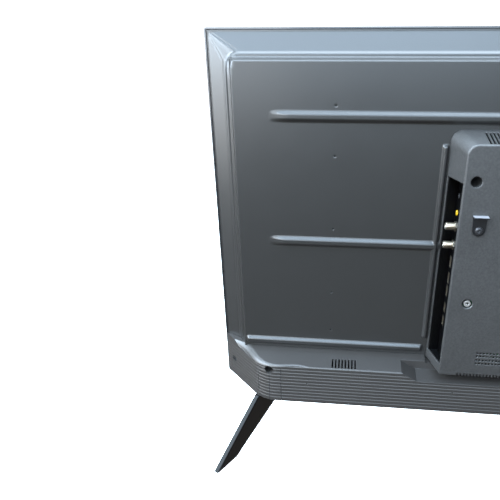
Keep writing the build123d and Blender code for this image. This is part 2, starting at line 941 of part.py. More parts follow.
for name, share, y, radius, bore, stand in (
    ("headphone_jack", jack_drop_share, jack_y, jack_radius, jack_bore, shell_wall),
    ("av_jack", av_drop_share, av_y, av_radius, av_bore, av_stand),
):
    with BuildPart() as jack:
        height = bay_height(share)
        end = bay_floor + stand
        block(
            (end - jack_depth, bay_floor - bay_liner - fit_gap),
            (board_top, y + radius),
            (height - radius, height + radius),
        )
        rod_x((end - jack_depth, end), y, height, radius)
        rod_x((end - jack_bore_depth, end + overrun), y, height, bore, Mode.SUBTRACT)
    finish(jack, name)

# Mains inlet for a figure-8 plug, and its two pins
with BuildPart() as mains_inlet:
    mouth = -bay_floor - shell_wall
    middle_y = (inlet_y[0] + inlet_y[1]) / 2
    block(
        (mouth, mouth + inlet_depth),
        inlet_y,
        (inlet_z - inlet_width / 2, inlet_z + inlet_width / 2),
    )
    with BuildSketch(Plane.YZ.offset(mouth)):
        with Locations(Location((middle_y, inlet_z), 90)):
            SlotCenterToCenter(inlet_pin_spacing, inlet_height - 4 * shell_wall)
    extrude(amount=inlet_depth - bay_liner, mode=Mode.SUBTRACT)
    for shift in (-inlet_pin_spacing / 2, inlet_pin_spacing / 2):
        rod_x(
            (mouth + inlet_pin_radius, mouth + inlet_depth),
            middle_y,
            inlet_z + shift,
            inlet_pin_radius,
        )
finish(mains_inlet, "mains_inlet")

# Cable bracket under the upper right wall mount screw
clip_seat = rear_y + clip_thickness
with BuildPart() as cable_bracket:
    with BuildSketch(upright(rear_y)):
        with BuildLine():
            top_z_clip = mount_z[1] + clip_rise
            arc = CenterArc((mount_x, mount_z[1]), clip_half_width * clip_waist_share, 180, 180)
            Line(arc @ 1, (mount_x + clip_half_width, top_z_clip))
            Line((mount_x + clip_half_width, top_z_clip), (mount_x - clip_half_width, top_z_clip))
            Line((mount_x - clip_half_width, top_z_clip), arc @ 0)
        make_face()
        with Locations((mount_x, mount_z[1])):
            Circle(mount_bore + fit_gap, mode=Mode.SUBTRACT)
    extrude(amount=-clip_thickness)
    block(
        (mount_x - clip_half_width, mount_x + clip_half_width),
        (rear_y, rear_y + clip_flange),
        (mount_z[1] + clip_rise - clip_thickness, mount_z[1] + clip_rise),
    )
finish(cable_bracket, "cable_bracket")
screws(
    "bracket_screw",
    [(mount_x, mount_z[1], clip_seat)],
    mount_bore,
    clip_screw_head,
    clip_screw_head_height,
    clip_screw_length,
)


def chin_outline(z, shrink):
    """Plan of the lower cover at height z: a flat back whose two ends turn forward at 45 degrees."""
    end_x = half_width - shrink
    back = chin_y - shrink
    facet = half_width + rim_y - shrink * 2**0.5
    front = rim_y - overrun
    with BuildSketch(Plane.XY.offset(z)) as plan:
        with BuildLine():
            Polyline(
                (-end_x, front),
                (end_x, front),
                (end_x, facet - end_x),
                (facet - back, back),
                (back - facet, back),
                (-end_x, facet - end_x),
                close=True,
            )
        make_face()
        corners = [v for v in plan.vertices() if abs(v.Y - back) < fit_gap]
        fillet(corners, chin_corner - shrink)
    return plan.sketch


chin_slope = chin_rise / (chin_y - pan_y)


def chin_top_at(y):
    """Height of the lower cover's sloped top at depth y."""
    return chin_top + (chin_y - y) * chin_slope


def chin_roll_stations(shrink):
    """Points of the top edge at one end with their outward headings, from the side to the back."""
    back = chin_y - shrink
    radius = chin_corner - shrink
    facet = half_width + rim_y - shrink * 2**0.5
    centre_x = facet - back - radius * tan(radians(chin_turn / 2))
    centre_y = back - radius
    turns = [chin_turn, 2 * chin_turn / 3, chin_turn / 3, 0]
    arc = [(centre_x + radius * sin(radians(t)), centre_y + radius * cos(radians(t)), t) for t in turns]
    side_x = half_width + overrun - shrink
    side_point = (side_x, facet - side_x, chin_turn)
    middle = ((side_x + arc[0][0]) / 2, (side_point[1] + arc[0][1]) / 2, chin_turn)
    return [side_point, middle, *arc, (centre_x - radius, back, 0)]


def chin_block(shrink):
    """Solid body of the lower cover with its sloped top, rolled edges and notch, drawn in by shrink."""
    back = chin_y - shrink
    notch_y = pan_y + notch_step_y - shrink
    pocket = box_half_width + frame_bead_gap + shrink
    with BuildPart() as body:
        with BuildSketch(Plane.YZ):
            with BuildLine():
                Polyline(
                    (rim_y - overrun, floor_z + shrink),
                    (back, floor_z + shrink),
                    (back, chin_top - shrink - chin_edge),
                    (back - chin_edge, chin_top_at(back - chin_edge) - shrink),
                    (pan_y, chin_top_front - shrink),
                    (rim_y - overrun, chin_top_front - shrink),
                    close=True,
                )
            make_face()
        extrude(amount=tv_width / 2, both=True)
        with BuildPart(mode=Mode.INTERSECT):
            add(chin_outline(floor_z - overrun, shrink))
            extrude(amount=chin_height + 4 * overrun)
        # Rolled edge round each end
        for side in (-1, 1):
            for (x, y, heading), share in zip(chin_roll_stations(shrink), chin_roll_shares):
                outward = Vector(side * sin(radians(heading)), cos(radians(heading)), 0)
                slope = chin_slope * cos(radians(heading))
                width, drop = share * chin_roll_width, share * chin_roll_drop
                station = Plane(
                    origin=(side * x, y, chin_top_at(y) - shrink),
                    x_dir=outward,
                    z_dir=outward.cross(Vector(0, 0, 1)),
                )
                with BuildSketch(station):
                    with BuildLine():
                        inner = (-width, width * slope)
                        Polyline((0, -drop), (overrun, -drop), (overrun, drop), (-width, drop), inner)
                        TangentArc(inner, (0, -drop), tangent=(1, -slope))
                    make_face()
            loft(mode=Mode.SUBTRACT)
        # Notch that clears the cable side of the cover
        for y in (notch_y, chin_y + overrun):
            floor = chin_top_at(y) - notch_depth - shrink
            lip = floor + notch_depth + overrun
            spread = notch_flank * (lip - floor) / notch_depth
            with BuildSketch(upright(y)):
                with BuildLine():
                    Polyline(
                        (-notch_half_width - shrink, floor),
                        (notch_half_width + shrink, floor),
                        (notch_half_width + shrink + spread, lip),
                        (-notch_half_width - shrink - spread, lip),
                        close=True,
                    )
                make_face()
        loft(ruled=True, mode=Mode.SUBTRACT)
        block(
            (-pocket, pocket),
            (rim_y - 2 * overrun, notch_y + overrun),
            (chin_top_front - notch_step - shrink, chin_top_front + overrun),
            Mode.SUBTRACT,
        )
    return body.part


# Ribs: grooves whose lower side leans outwards and catches the light
rib_pitch = (chin_height - notch_edge) / rib_count
with BuildPart() as rib_cuts:
    for i in range(1, rib_count):
        z = floor_z + i * rib_pitch
        add(chin_outline(z, -overrun))
        extrude(amount=rib_groove)
    for i in range(1, rib_count):
        z = floor_z + i * rib_pitch
        with BuildPart(mode=Mode.SUBTRACT):
            add(chin_outline(z, 0))
            add(chin_outline(z + rib_groove, rib_depth))
            loft(ruled=True)

socket_x = (leg_x - socket_half_width, leg_x + socket_half_width)
socket_z = (floor_z, floor_z + socket_height)
screw_z = floor_z + leg_screw_z
tongue_front = pan_y + bracket_depth + fit_gap
tongue_rear = tongue_front + tongue_thickness
seat_y = tongue_rear + fit_gap + chin_wall
chin_ribbed = chin_block(0) - rib_cuts.part
chin_inner = chin_block(chin_wall)
chin_tower_room = chin_block(chin_wall + fit_gap)
boss_front = rim_y + chin_boss_lift

with BuildPart() as chin_cover:
    add(chin_ribbed)
    add(chin_inner, mode=Mode.SUBTRACT)
    # Screw bosses behind the 45 degree faces
    for side in (-1, 1):
        with BuildPart(mode=Mode.ADD):
            rod_y(side * chin_hole_x, floor_z + chin_hole_z, (boss_front, chin_y), chin_boss_radius)
            add(chin_ribbed, mode=Mode.INTERSECT)
        rod_y(
            side * chin_hole_x,
            floor_z + chin_hole_z,
            (boss_front + well_floor, chin_y),
            chin_hole_radius,
            Mode.SUBTRACT,
        )
        rod_y(
            side * chin_hole_x,
            floor_z + chin_hole_z,
            (boss_front - overrun, chin_y),
            screw_radius + fit_gap,
            Mode.SUBTRACT,
        )
        # Opening for the leg socket, and the screw hole above it
        block(
            (side * (socket_x[0] - fit_gap), side * (socket_x[1] + fit_gap)),
            (stub_front - chin_wall - fit_gap, chin_y + overrun),
            (floor_z - overrun, socket_z[1] + fit_gap),
            Mode.SUBTRACT,
        )
        rod_y(side * leg_x, screw_z, (seat_y, chin_y + overrun), well_radius - fit_gap, Mode.SUBTRACT)
        for i in range(chin_slot_count):
            x = side * (chin_slot_x + (i - (chin_slot_count - 1) / 2) * chin_slot_pitch)
            block(
                (x - chin_slot_width / 2, x + chin_slot_width / 2),
                (chin_y - chin_wall - chin_slot_length, chin_y - chin_wall),
                (chin_top - 2 * chin_wall, chin_top_front + overrun),
                Mode.SUBTRACT,
            )
        for i in range(sound_slot_count):
            x = side * speaker_x + (i - (sound_slot_count - 1) / 2) * sound_slot_pitch
            block(
                (x - sound_slot_width / 2, x + sound_slot_width / 2),
                (
                    (speaker_front + speaker_rear - sound_slot_length) / 2,
                    (speaker_front + speaker_rear + sound_slot_length) / 2,
                ),
                (floor_z - overrun, floor_z + chin_wall + overrun),
                Mode.SUBTRACT,
            )
        for share in dimple_x_shares:
            rod_y(
                side * share * half_width,
                floor_z + dimple_z,
                (chin_y - dimple_depth, chin_y + overrun),
                dimple_radius,
                Mode.SUBTRACT,
            )
    block(
        (-tv_width, tv_width),
        (rim_y - 2 * overrun, rim_y + fit_gap),
        (floor_z - overrun, chin_top_front + overrun),
        Mode.SUBTRACT,
    )
    add(pan_block(-fit_gap), mode=Mode.SUBTRACT)
finish(chin_cover, "chin_cover")

# Short screws through the ends of the lower cover into studs on the pan
screws(
    "chin_screws",
    [(side * chin_hole_x, floor_z + chin_hole_z, boss_front + well_floor) for side in (-1, 1)],
    screw_radius,
    screw_head,
    screw_head_height,
    chin_screw_length,
)

# Leg sockets, whose backs finish flush with the lower cover
for side, name in ((1, "right"), (-1, "left")):
    x_low, x_high = sorted((side * socket_x[0], side * socket_x[1]))
    with BuildPart() as leg_socket:
        add(chin_ribbed)
        block(
            (x_low, x_high),
            (stub_front - chin_wall, chin_y + overrun),
            (socket_z[0], socket_z[1]),
            Mode.INTERSECT,
        )
        with BuildPart():
            block(
                (side * leg_x - tongue_half_width - chin_wall, side * leg_x + tongue_half_width + chin_wall),
                (tongue_rear + fit_gap, chin_y),
                (socket_z[1], screw_z + screw_head),
            )
            add(chin_tower_room, mode=Mode.INTERSECT)
        block(
            (side * leg_x - hub_half_width - fit_gap, side * leg_x + hub_half_width + fit_gap),
            (stub_front - fit_gap, stub_rear + fit_gap),
            (socket_z[0] - overrun, floor_z + stub_height + fit_gap),
            Mode.SUBTRACT,
        )
        block(
            (side * leg_x - tongue_half_width - fit_gap, side * leg_x + tongue_half_width + fit_gap),
            (tongue_front - fit_gap, tongue_rear + fit_gap),
            (socket_z[0], screw_z + well_radius),
            Mode.SUBTRACT,
        )
        block(
            (x_low - overrun, x_high + overrun),
            (stub_front - overrun, tongue_front - fit_gap),
            (screw_z - bracket_half_height - fit_gap, screw_z + overrun),
            Mode.SUBTRACT,
        )
        rod_y(side * leg_x, screw_z, (seat_y, chin_y + overrun), well_radius - fit_gap, Mode.SUBTRACT)
        rod_y(side * leg_x, screw_z, (tongue_front, chin_y), leg_screw_radius + fit_gap, Mode.SUBTRACT)
        block(
            (side * leg_x - seam_width / 2, side * leg_x + seam_width / 2),
            (chin_y - rib_depth, chin_y + overrun),
            (socket_z[0], screw_z - well_radius),
            Mode.SUBTRACT,
        )
    finish(leg_socket, f"leg_socket_{name}")

# Steel brackets on the pan that take the leg screws
with BuildPart() as leg_brackets:
    for side in (-1, 1):
        middle = side * leg_x
        block(
            (middle - bracket_half_width, middle + bracket_half_width),
            (pan_y, pan_y + bracket_depth),
            (screw_z - bracket_half_height, screw_z + screw_head),
        )
        block(
            (middle - bracket_half_width + bracket_plate, middle + bracket_half_width - bracket_plate),
            (pan_y - overrun, pan_y + bracket_depth - bracket_plate),
            (screw_z - bracket_half_height - overrun, screw_z + screw_head + overrun),
            Mode.SUBTRACT,
        )
        rod_y(middle, screw_z, (pan_y, pan_y + bracket_depth + overrun), leg_screw_radius, Mode.SUBTRACT)
finish(leg_brackets, "leg_brackets")
screws(
    "leg_screws",
    [(side * leg_x, screw_z, seat_y) for side in (-1, 1)],
    leg_screw_radius,
    leg_screw_head,
    leg_screw_head_height,
    leg_screw_length,
)


def prong_points(low):
    """Outline of one leg blade from its root to its sole, as reach and height."""
    lean = (leg_foot_reach - leg_top_reach) / floor_z
    return [
        (-leg_thickness / 2, floor_z),
        (leg_top_reach, floor_z),
        (leg_foot_reach - low * lean, low),
        (leg_foot_reach - leg_sole_length, low),
        (leg_crotch_reach, floor_z - leg_crotch_drop),
        (-leg_thickness / 2, floor_z - leg_crotch_drop),
    ]


blade_root, blade_tip = (Vector(*point) for point in prong_points(pad_thickness)[1:3])
blade_run = (blade_tip - blade_root).length


def prong_plane(side, turn):
    """Upright plane of one leg blade, turned out by the toe angle."""
    toe = radians(leg_toe)
    reach = Vector(side * sin(toe), turn * cos(toe), 0)
    return Plane(origin=(side * leg_x, 0, 0), x_dir=reach, z_dir=reach.cross(Vector(0, 0, 1)))


# Splayed legs: two upright blades from one hub, with a stub and a tongue that rise into the set
for side, name in ((1, "right"), (-1, "left")):
    middle = side * leg_x
    with BuildPart() as leg:
        for turn in (-1, 1):
            with BuildSketch(prong_plane(side, turn)):
                with BuildLine():
                    Polyline(*prong_points(pad_thickness), close=True)
                make_face()
            extrude(amount=leg_thickness / 2, both=True)
        chamfer(leg.edges().filter_by(lambda edge: abs(edge.length - blade_run) < fit_gap), leg_edge)
        block(
            (middle - hub_half_width, middle + hub_half_width),
            (-hub_half_depth, hub_half_depth),
            (floor_z - hub_height, floor_z),
        )
        block(
            (middle - hub_half_width, middle + hub_half_width),
            (stub_front, stub_rear),
            (floor_z, floor_z + stub_height),
        )
        block(
            (middle - tongue_half_width, middle + tongue_half_width),
            (tongue_front, tongue_rear),
            (floor_z + stub_height, screw_z + leg_screw_head),
        )
        bolt_run = (tongue_front - overrun, tongue_rear + overrun)
        rod_y(middle, screw_z, bolt_run, leg_screw_radius + fit_gap, Mode.SUBTRACT)
    finish(leg, f"leg_{name}")

with BuildPart() as leg_pads:
    for side in (-1, 1):
        for turn in (-1, 1):
            with BuildSketch(prong_plane(side, turn)):
                with BuildLine():
                    Polyline(
                        (leg_foot_reach - leg_sole_length + pad_inset, 0),
                        (leg_foot_reach - 2 * pad_inset, 0),
                        (leg_foot_reach - 2 * pad_inset, pad_thickness),
                        (leg_foot_reach - leg_sole_length + pad_inset, pad_thickness),
                        close=True,
                    )
                make_face()
            extrude(amount=leg_thickness / 2 - pad_inset, both=True)
finish(leg_pads, "leg_pads")

# Speaker boxes that fire down through slots in the lower cover
for side, name in ((1, "right"), (-1, "left")):
    middle = side * speaker_x
    base = floor_z + chin_wall
    speaker_y = (speaker_front + speaker_rear) / 2
    with BuildPart() as speaker:
        block(
            (middle - speaker_length / 2, middle + speaker_length / 2),
            (speaker_front, speaker_rear),
            (base, base + speaker_height),
        )
        with Locations((middle, speaker_y, base + cone_height / 2)):
            Cone(cone_radius, cone_throat, cone_height, mode=Mode.SUBTRACT)
    finish(speaker, f"speaker_{name}")

# Pod under the screen's lower edge for the remote sensor and the power button
pod_front = front_y + pod_inset
pod_rear = pod_front + pod_depth
pod_base = floor_z - pod_drop
pod_middle = (pod_front + pod_rear) / 2
board_half = key_board_width / 2
flange_low = pod_base + pod_wall + plunger_gap
flange_high = flange_low + button_flange
post_top = flange_high + post_length
plunger_low = post_top + plunger_gap
switch_low = plunger_low + switch_throw
key_board_low = switch_low + switch_height
window_z = (pod_base + 2 * pod_wall, floor_z - pod_wall)
with BuildPart() as sensor_pod:
    block((-pod_width / 2, pod_width / 2), (pod_front, pod_rear), (pod_base, floor_z))
    block(
        (-pod_width / 2 + pod_wall, pod_width / 2 - pod_wall),
        (pod_front + pod_wall, pod_rear - pod_wall),
        (pod_base + pod_wall, floor_z + overrun),
        Mode.SUBTRACT,
    )
    block(
        (button_x - button_width / 2 - fit_gap, button_x + button_width / 2 + fit_gap),
        (pod_middle - button_depth / 2 - fit_gap, pod_middle + button_depth / 2 + fit_gap),
        (pod_base - overrun, pod_base + 2 * pod_wall),
        Mode.SUBTRACT,
    )
    block(
        (window_x - window_width / 2, window_x + window_width / 2),
        (pod_front - overrun, pod_front + pod_wall),
        window_z,
        Mode.SUBTRACT,
    )
    for side in (-1, 1):
        for y in (pod_front + pod_wall, pod_rear - 2 * pod_wall):
            block(
                (side * (pod_width / 2 - pod_wall), side * (board_half - pod_wall)),
                (y, y + pod_wall),
                (pod_base, key_board_low),
            )
finish(sensor_pod, "sensor_pod")

with BuildPart() as ir_lens:
    block(
        (window_x - window_width / 2, window_x + window_width / 2),
        (pod_front, pod_front + pod_wall),
        window_z,
    )
finish(ir_lens, "ir_lens")

with BuildPart() as key_board:
    block(
        (-board_half, board_half),
        (pod_front + pod_wall + fit_gap, pod_rear - pod_wall - fit_gap),
        (key_board_low, key_board_low + key_board_thickness),
    )
finish(key_board, "key_board")

with BuildPart() as ir_receiver:
    block(
        (window_x - switch_height / 2, window_x + switch_height / 2),
        (pod_front + 2 * pod_wall, pod_front + 2 * pod_wall + switch_height),
        (key_board_low - switch_size * 2 / 3, key_board_low),
    )
finish(ir_receiver, "ir_receiver")

with BuildPart() as tact_switch:
    block(
        (button_x - switch_size / 2, button_x + switch_size / 2),
        (pod_middle - switch_size / 2, pod_middle + switch_size / 2),
        (switch_low, key_board_low),
    )
    rod_z(
        button_x,
        pod_middle,
        (switch_low - overrun, switch_low + switch_height * 3 / 4),
        plunger_radius + plunger_gap,
        Mode.SUBTRACT,
    )
finish(tact_switch, "tact_switch")

with BuildPart() as tact_plunger:
    rod_z(button_x, pod_middle, (plunger_low, switch_low + switch_height / 2), plunger_radius)
finish(tact_plunger, "tact_plunger")

with BuildPart() as power_button:
    block(
        (button_x - button_width / 2, button_x + button_width / 2),
        (pod_middle - button_depth / 2, pod_middle + button_depth / 2),
        (pod_base - button_stand, flange_low),
    )
    fillet(power_button.edges().group_by(Axis.Z)[0], button_stand / 2)
    block(
        (button_x - button_width / 2 - button_rim, button_x + button_width / 2 + button_rim),
        (pod_middle - button_depth / 2 - button_rim, pod_middle + button_depth / 2 + button_rim),
        (flange_low, flange_high),
    )
    rod_z(button_x, pod_middle, (flange_high, post_top), plunger_radius)
finish(power_button, "power_button")
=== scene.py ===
"""Dressed scene of a flat screen television seen from behind.

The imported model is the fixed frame. This script gives every node its finish, models the pressed
steel back, the aerial sockets and the bracket's screw as meshes, and sets the backdrop, the light
and the camera. Sizes of the set's pieces are in millimetres and become metres when a mesh is made;
the studio's boxes and backdrop are in metres.
The frame has +Z up, the screen facing -Y and +X to the right of someone watching it.
"""

from __future__ import annotations

import json
import logging
import math
from dataclasses import dataclass, field
from enum import Enum
from typing import Any, Callable, Optional, Sequence, Union

import bmesh
import bpy
import numpy as np
from mathutils import Matrix, Vector


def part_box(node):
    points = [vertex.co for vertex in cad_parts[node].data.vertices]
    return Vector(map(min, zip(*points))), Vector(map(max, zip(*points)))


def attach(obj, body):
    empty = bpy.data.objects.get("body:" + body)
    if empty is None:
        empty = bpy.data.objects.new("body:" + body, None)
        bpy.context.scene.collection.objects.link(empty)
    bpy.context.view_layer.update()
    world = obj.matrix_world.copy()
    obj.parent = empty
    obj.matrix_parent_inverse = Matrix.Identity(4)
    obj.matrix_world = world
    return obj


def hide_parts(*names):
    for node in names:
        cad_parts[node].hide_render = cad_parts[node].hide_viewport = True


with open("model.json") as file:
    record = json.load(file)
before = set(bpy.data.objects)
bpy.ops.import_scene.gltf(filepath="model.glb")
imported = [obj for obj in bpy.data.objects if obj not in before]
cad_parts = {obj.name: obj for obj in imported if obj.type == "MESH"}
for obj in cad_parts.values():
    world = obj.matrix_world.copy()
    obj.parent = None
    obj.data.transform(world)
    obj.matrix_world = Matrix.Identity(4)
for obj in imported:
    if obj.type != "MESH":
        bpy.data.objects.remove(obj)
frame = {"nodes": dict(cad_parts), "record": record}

MM = 0.001
LOG = logging.getLogger("television")
SET_BODY = "set"
EDGE_SAMPLES = 6  # rays of the node that rounds edges
WELD = 0.01  # millimetres within which points are one
METAL_CREASE = 40.0  # degrees from which a metal edge stays sharp
SMOOTH = 180.0  # the same where no edge does
Colour = tuple[float, float, float]
Point = tuple[float, float, float]
Pair = tuple[float, float]


class Signal:
    """One value output of a shader graph, with arithmetic that adds Math nodes."""

    def __init__(self, graph: "Graph", socket: bpy.types.NodeSocket) -> None:
        """Wrap a socket.

        Args:
            graph: The graph that holds the socket.
            socket: The output to wrap.
        """
        self.graph = graph
        self.socket = socket

    def combine(self, operation: str, first: Any, second: Any = 0.0) -> "Signal":
        """Add a Math node.

        Args:
            operation: The node's operation.
            first: Value or signal of the first input.
            second: Value or signal of the second input.

        Returns:
            The node's output.
        """
        return self.graph.node("ShaderNodeMath", {"operation": operation}, {0: first, 1: second})

    def __add__(self, other: Any) -> "Signal":
        """Sum with another value."""
        return self.combine("ADD", self, other)

    def __radd__(self, other: Any) -> "Signal":
        """Sum with a number on the left."""
        return self.combine("ADD", other, self)

    def __sub__(self, other: Any) -> "Signal":
        """Difference from another value."""
        return self.combine("SUBTRACT", self, other)

    def __rsub__(self, other: Any) -> "Signal":
        """Difference from a number on the left."""
        return self.combine("SUBTRACT", other, self)

    def __mul__(self, other: Any) -> "Signal":
        """Product with another value."""
        return self.combine("MULTIPLY", self, other)

    def __rmul__(self, other: Any) -> "Signal":
        """Product with a number on the left."""
        return self.combine("MULTIPLY", other, self)

    def __gt__(self, other: Any) -> "Signal":
        """One where this value is the greater."""
        return self.combine("GREATER_THAN", self, other)

    def __lt__(self, other: Any) -> "Signal":
        """One where this value is the smaller."""
        return self.combine("LESS_THAN", self, other)

    def magnitude(self) -> "Signal":
        """This value without its sign."""
        return self.combine("ABSOLUTE", self)

    def power(self, exponent: float) -> "Signal":
        """This value raised to an exponent."""
        return self.combine("POWER", self, exponent)


class Graph:
    """Node tree of one material or of the surroundings."""

    def __init__(self, owner: Union[bpy.types.Material, bpy.types.World]) -> None:
        """Clear the owner's node tree.

        Args:
            owner: The material or world whose nodes are made.
        """
        owner.use_nodes = True
        self.owner = owner
        self.tree = owner.node_tree
        self.tree.nodes.clear()

    def node(
        self,
        kind: str,
        settings: Optional[dict[str, Any]] = None,
        sockets: Optional[dict[Union[int, str], Any]] = None,
        output: Union[int, str] = 0,
    ) -> Signal:
        """Add a node, set it up and feed it.

        Args:
            kind: Blender's name of the node type.
            settings: Properties to set first; "stops" holds a ramp's positions and colours.
            sockets: Values or signals by input name or number.
            output: The output to hand back.

        Returns:
            The chosen output as a signal.
        """
        made = self.tree.nodes.new(kind)
        for key, value in (settings or {}).items():
            if key == "stops":
                self.set_stops(made.color_ramp, value)
            else:
                setattr(made, key, value)
        for key, value in (sockets or {}).items():
            if isinstance(value, Signal):
                self.tree.links.new(value.socket, made.inputs[key])
            else:
                made.inputs[key].default_value = value
        return Signal(self, made.outputs[output]) if made.outputs else Signal(self, None)

    @staticmethod
    def set_stops(ramp: bpy.types.ColorRamp, stops: Sequence[tuple[float, Colour]]) -> None:
        """Give a ramp its stops.

        Args:
            ramp: The ramp to change.
            stops: Position and colour of each stop.
        """
        while len(ramp.elements) < len(stops):
            ramp.elements.new(1.0)
        for element, (place, colour) in zip(ramp.elements, stops):
            element.position = place
            element.color = (*colour, 1.0)

    def place(self) -> Signal:
        """Position on the piece at rest, in metres."""
        return self.node("ShaderNodeTexCoord", output="Object")

    def noise(self, scale: float, detail: float = 2.0, where: Optional[Signal] = None) -> Signal:
        """Soft noise between 0 and 1.

        Args:
            scale: Features per metre.
            detail: Octaves of finer noise.
            where: Position to read it at, or the piece's own.

        Returns:
            The noise value.
        """
        spot = where or self.place()
        return self.node(
            "ShaderNodeTexNoise", None, {"Vector": spot, "Scale": scale, "Detail": detail}
        )

    def axis(self, index: int) -> Signal:
        """One coordinate of the position, in metres."""
        return self.node("ShaderNodeSeparateXYZ", None, {"Vector": self.place()}, index)

    @staticmethod
    def most(signals: Sequence[Signal]) -> Signal:
        """The greatest of some values.

        Args:
            signals: The values.

        Returns:
            The greatest.
        """
        top = signals[0]
        for signal in signals[1:]:
            top = top.combine("MAXIMUM", top, signal)
        return top

    def near_axes(self, axes: Sequence[Pair], radius: float) -> Signal:
        """1 within a radius of any of some axes along Y.

        Args:
            axes: X and Z of each axis, in metres.
            radius: The radius, in metres.

        Returns:
            The mask.
        """
        x, z = self.axis(0), self.axis(2)
        masks = []
        for middle_x, middle_z in axes:
            along, up = x - middle_x, z - middle_z
            masks.append((along * along + up * up).power(0.5) < radius)
        return self.most(masks)

    def stretched(self, factors: Point) -> Signal:
        """Position with each axis multiplied by its own factor."""
        return self.node(
            "ShaderNodeVectorMath", {"operation": "MULTIPLY"}, {0: self.place(), 1: factors}
        )

    def blend(self, mask: Any, first: Any, second: Any) -> Signal:
        """Mix two colours by a mask.

        Args:
            mask: Share of the second colour.
            first: Colour or signal where the mask is 0.
            second: Colour or signal where the mask is 1.

        Returns:
            The mixed colour.
        """
        pair = [c if isinstance(c, Signal) else (*c, 1.0) for c in (first, second)]
        mixer = self.node("ShaderNodeMix", {"data_type": "RGBA"}, {"Factor": mask}, "Result")
        made = mixer.socket.node
        slots = [s for s in made.inputs if s.type == "RGBA"]
        for slot, value in zip(slots, pair):
            if isinstance(value, Signal):
                self.tree.links.new(value.socket, slot)
            else:
                slot.default_value = value
        return Signal(self, next(s for s in made.outputs if s.type == "RGBA"))

    def bump(self, height: Signal, depth: float, edge: float) -> Signal:
        """Relief from a height signal, with rounded edges.

        Args:
            height: The height, around 0 to 1.
            depth: Millimetres that one unit of height stands for.
            edge: Radius in millimetres over which hard edges look rounded.

        Returns:
            The normal.
        """
        base = self.node("ShaderNodeBevel", {"samples": EDGE_SAMPLES}, {"Radius": edge * MM})
        sockets = {"Height": height, "Distance": depth * MM, "Strength": 1.0, "Normal": base}
        return self.node("ShaderNodeBump", None, sockets)

    def surface(self, sockets: dict[str, Any]) -> bpy.types.Material:
        """Finish the material with a principled surface.

        Args:
            sockets: Values or signals of the surface's inputs.

        Returns:
            The material.
        """
        shader = self.node("ShaderNodeBsdfPrincipled", None, sockets)
        self.node("ShaderNodeOutputMaterial", None, {"Surface": shader})
        return self.owner


def screw_axes(node: str, spread: float = 0.012) -> list[Pair]:
    """X and Z of the axis of each screw that one node holds.

    Args:
        node: The node's name.
        spread: Points nearer than this belong to one screw, in metres.

    Returns:
        One pair for each screw, in metres.
    """
    groups: list[list[Pair]] = []
    for vert in frame["nodes"][node].data.vertices:
        spot = (vert.co.x, vert.co.z)
        near = (g for g in groups if math.dist(g[0], spot) < spread)
        group = next(near, None)
        if group is None:
            groups.append([spot])
        else:
            group.append(spot)
    return [tuple((min(axis) + max(axis)) / 2 for axis in zip(*group)) for group in groups]


@dataclass(frozen=True)
class Finish:
    """A finish with faint cloudiness in colour and sheen; its kinds add their own relief.

    Attributes:
        name: The material's name.
        colour: Main linear colour.
        roughness: Mean roughness.
        metallic: 1 for bare metal.
        cloud: Share by which the colour wanders.
        edge: Radius in millimetres over which hard edges look rounded.
        patches: Patches of colour per metre.
        smears: Patches of sheen per metre.
        swing: Share by which the roughness wanders.
        skin: Bumps of the skin per metre.
        skin_depth: Their height in millimetres.
    """

    name: str
    colour: Colour
    roughness: float
    metallic: float = 0.0
    cloud: float = 0.12
    edge: float = 0.4
    patches: float = 14.0
    smears: float = 35.0
    swing: float = 0.1
    skin: float = 900.0
    skin_depth: float = 0.02

    def tones(self, spread: float) -> tuple[Colour, Colour]:
        """The colour, darker and lighter by a share of itself."""
        return tuple(tuple(c * k for c in self.colour) for k in (1 - spread, 1 + spread))

    def shade(self, graph: Graph) -> Signal:
        """Colour that wanders a little darker and lighter."""
        return graph.blend(graph.noise(self.patches, detail=3.0), *self.tones(self.cloud))

    def sheen(self, graph: Graph) -> Signal:
        """Roughness that wanders a little."""
        wander = 2 * self.swing * graph.noise(self.smears, detail=4.0)
        return self.roughness * (1 - self.swing + wander)

    def relief(self, graph: Graph) -> Signal:
        """Normal of the surface, from the fine bumps of its skin."""
        bumps = graph.noise(self.skin, detail=2.0)
        return graph.bump(bumps, self.skin_depth, self.edge)

    def extras(self) -> dict[str, Any]:
        """Uniform values of further inputs."""
        return {}

    def build(self) -> bpy.types.Material:
        """Make the material.

        Returns:
            The material.
        """
        graph = Graph(bpy.data.materials.new(self.name))
        sockets = {
            "Base Color": self.shade(graph),
            "Roughness": self.sheen(graph),
            "Metallic": self.metallic,
            "Normal": self.relief(graph),
            **self.extras(),
        }
        return graph.surface(sockets)


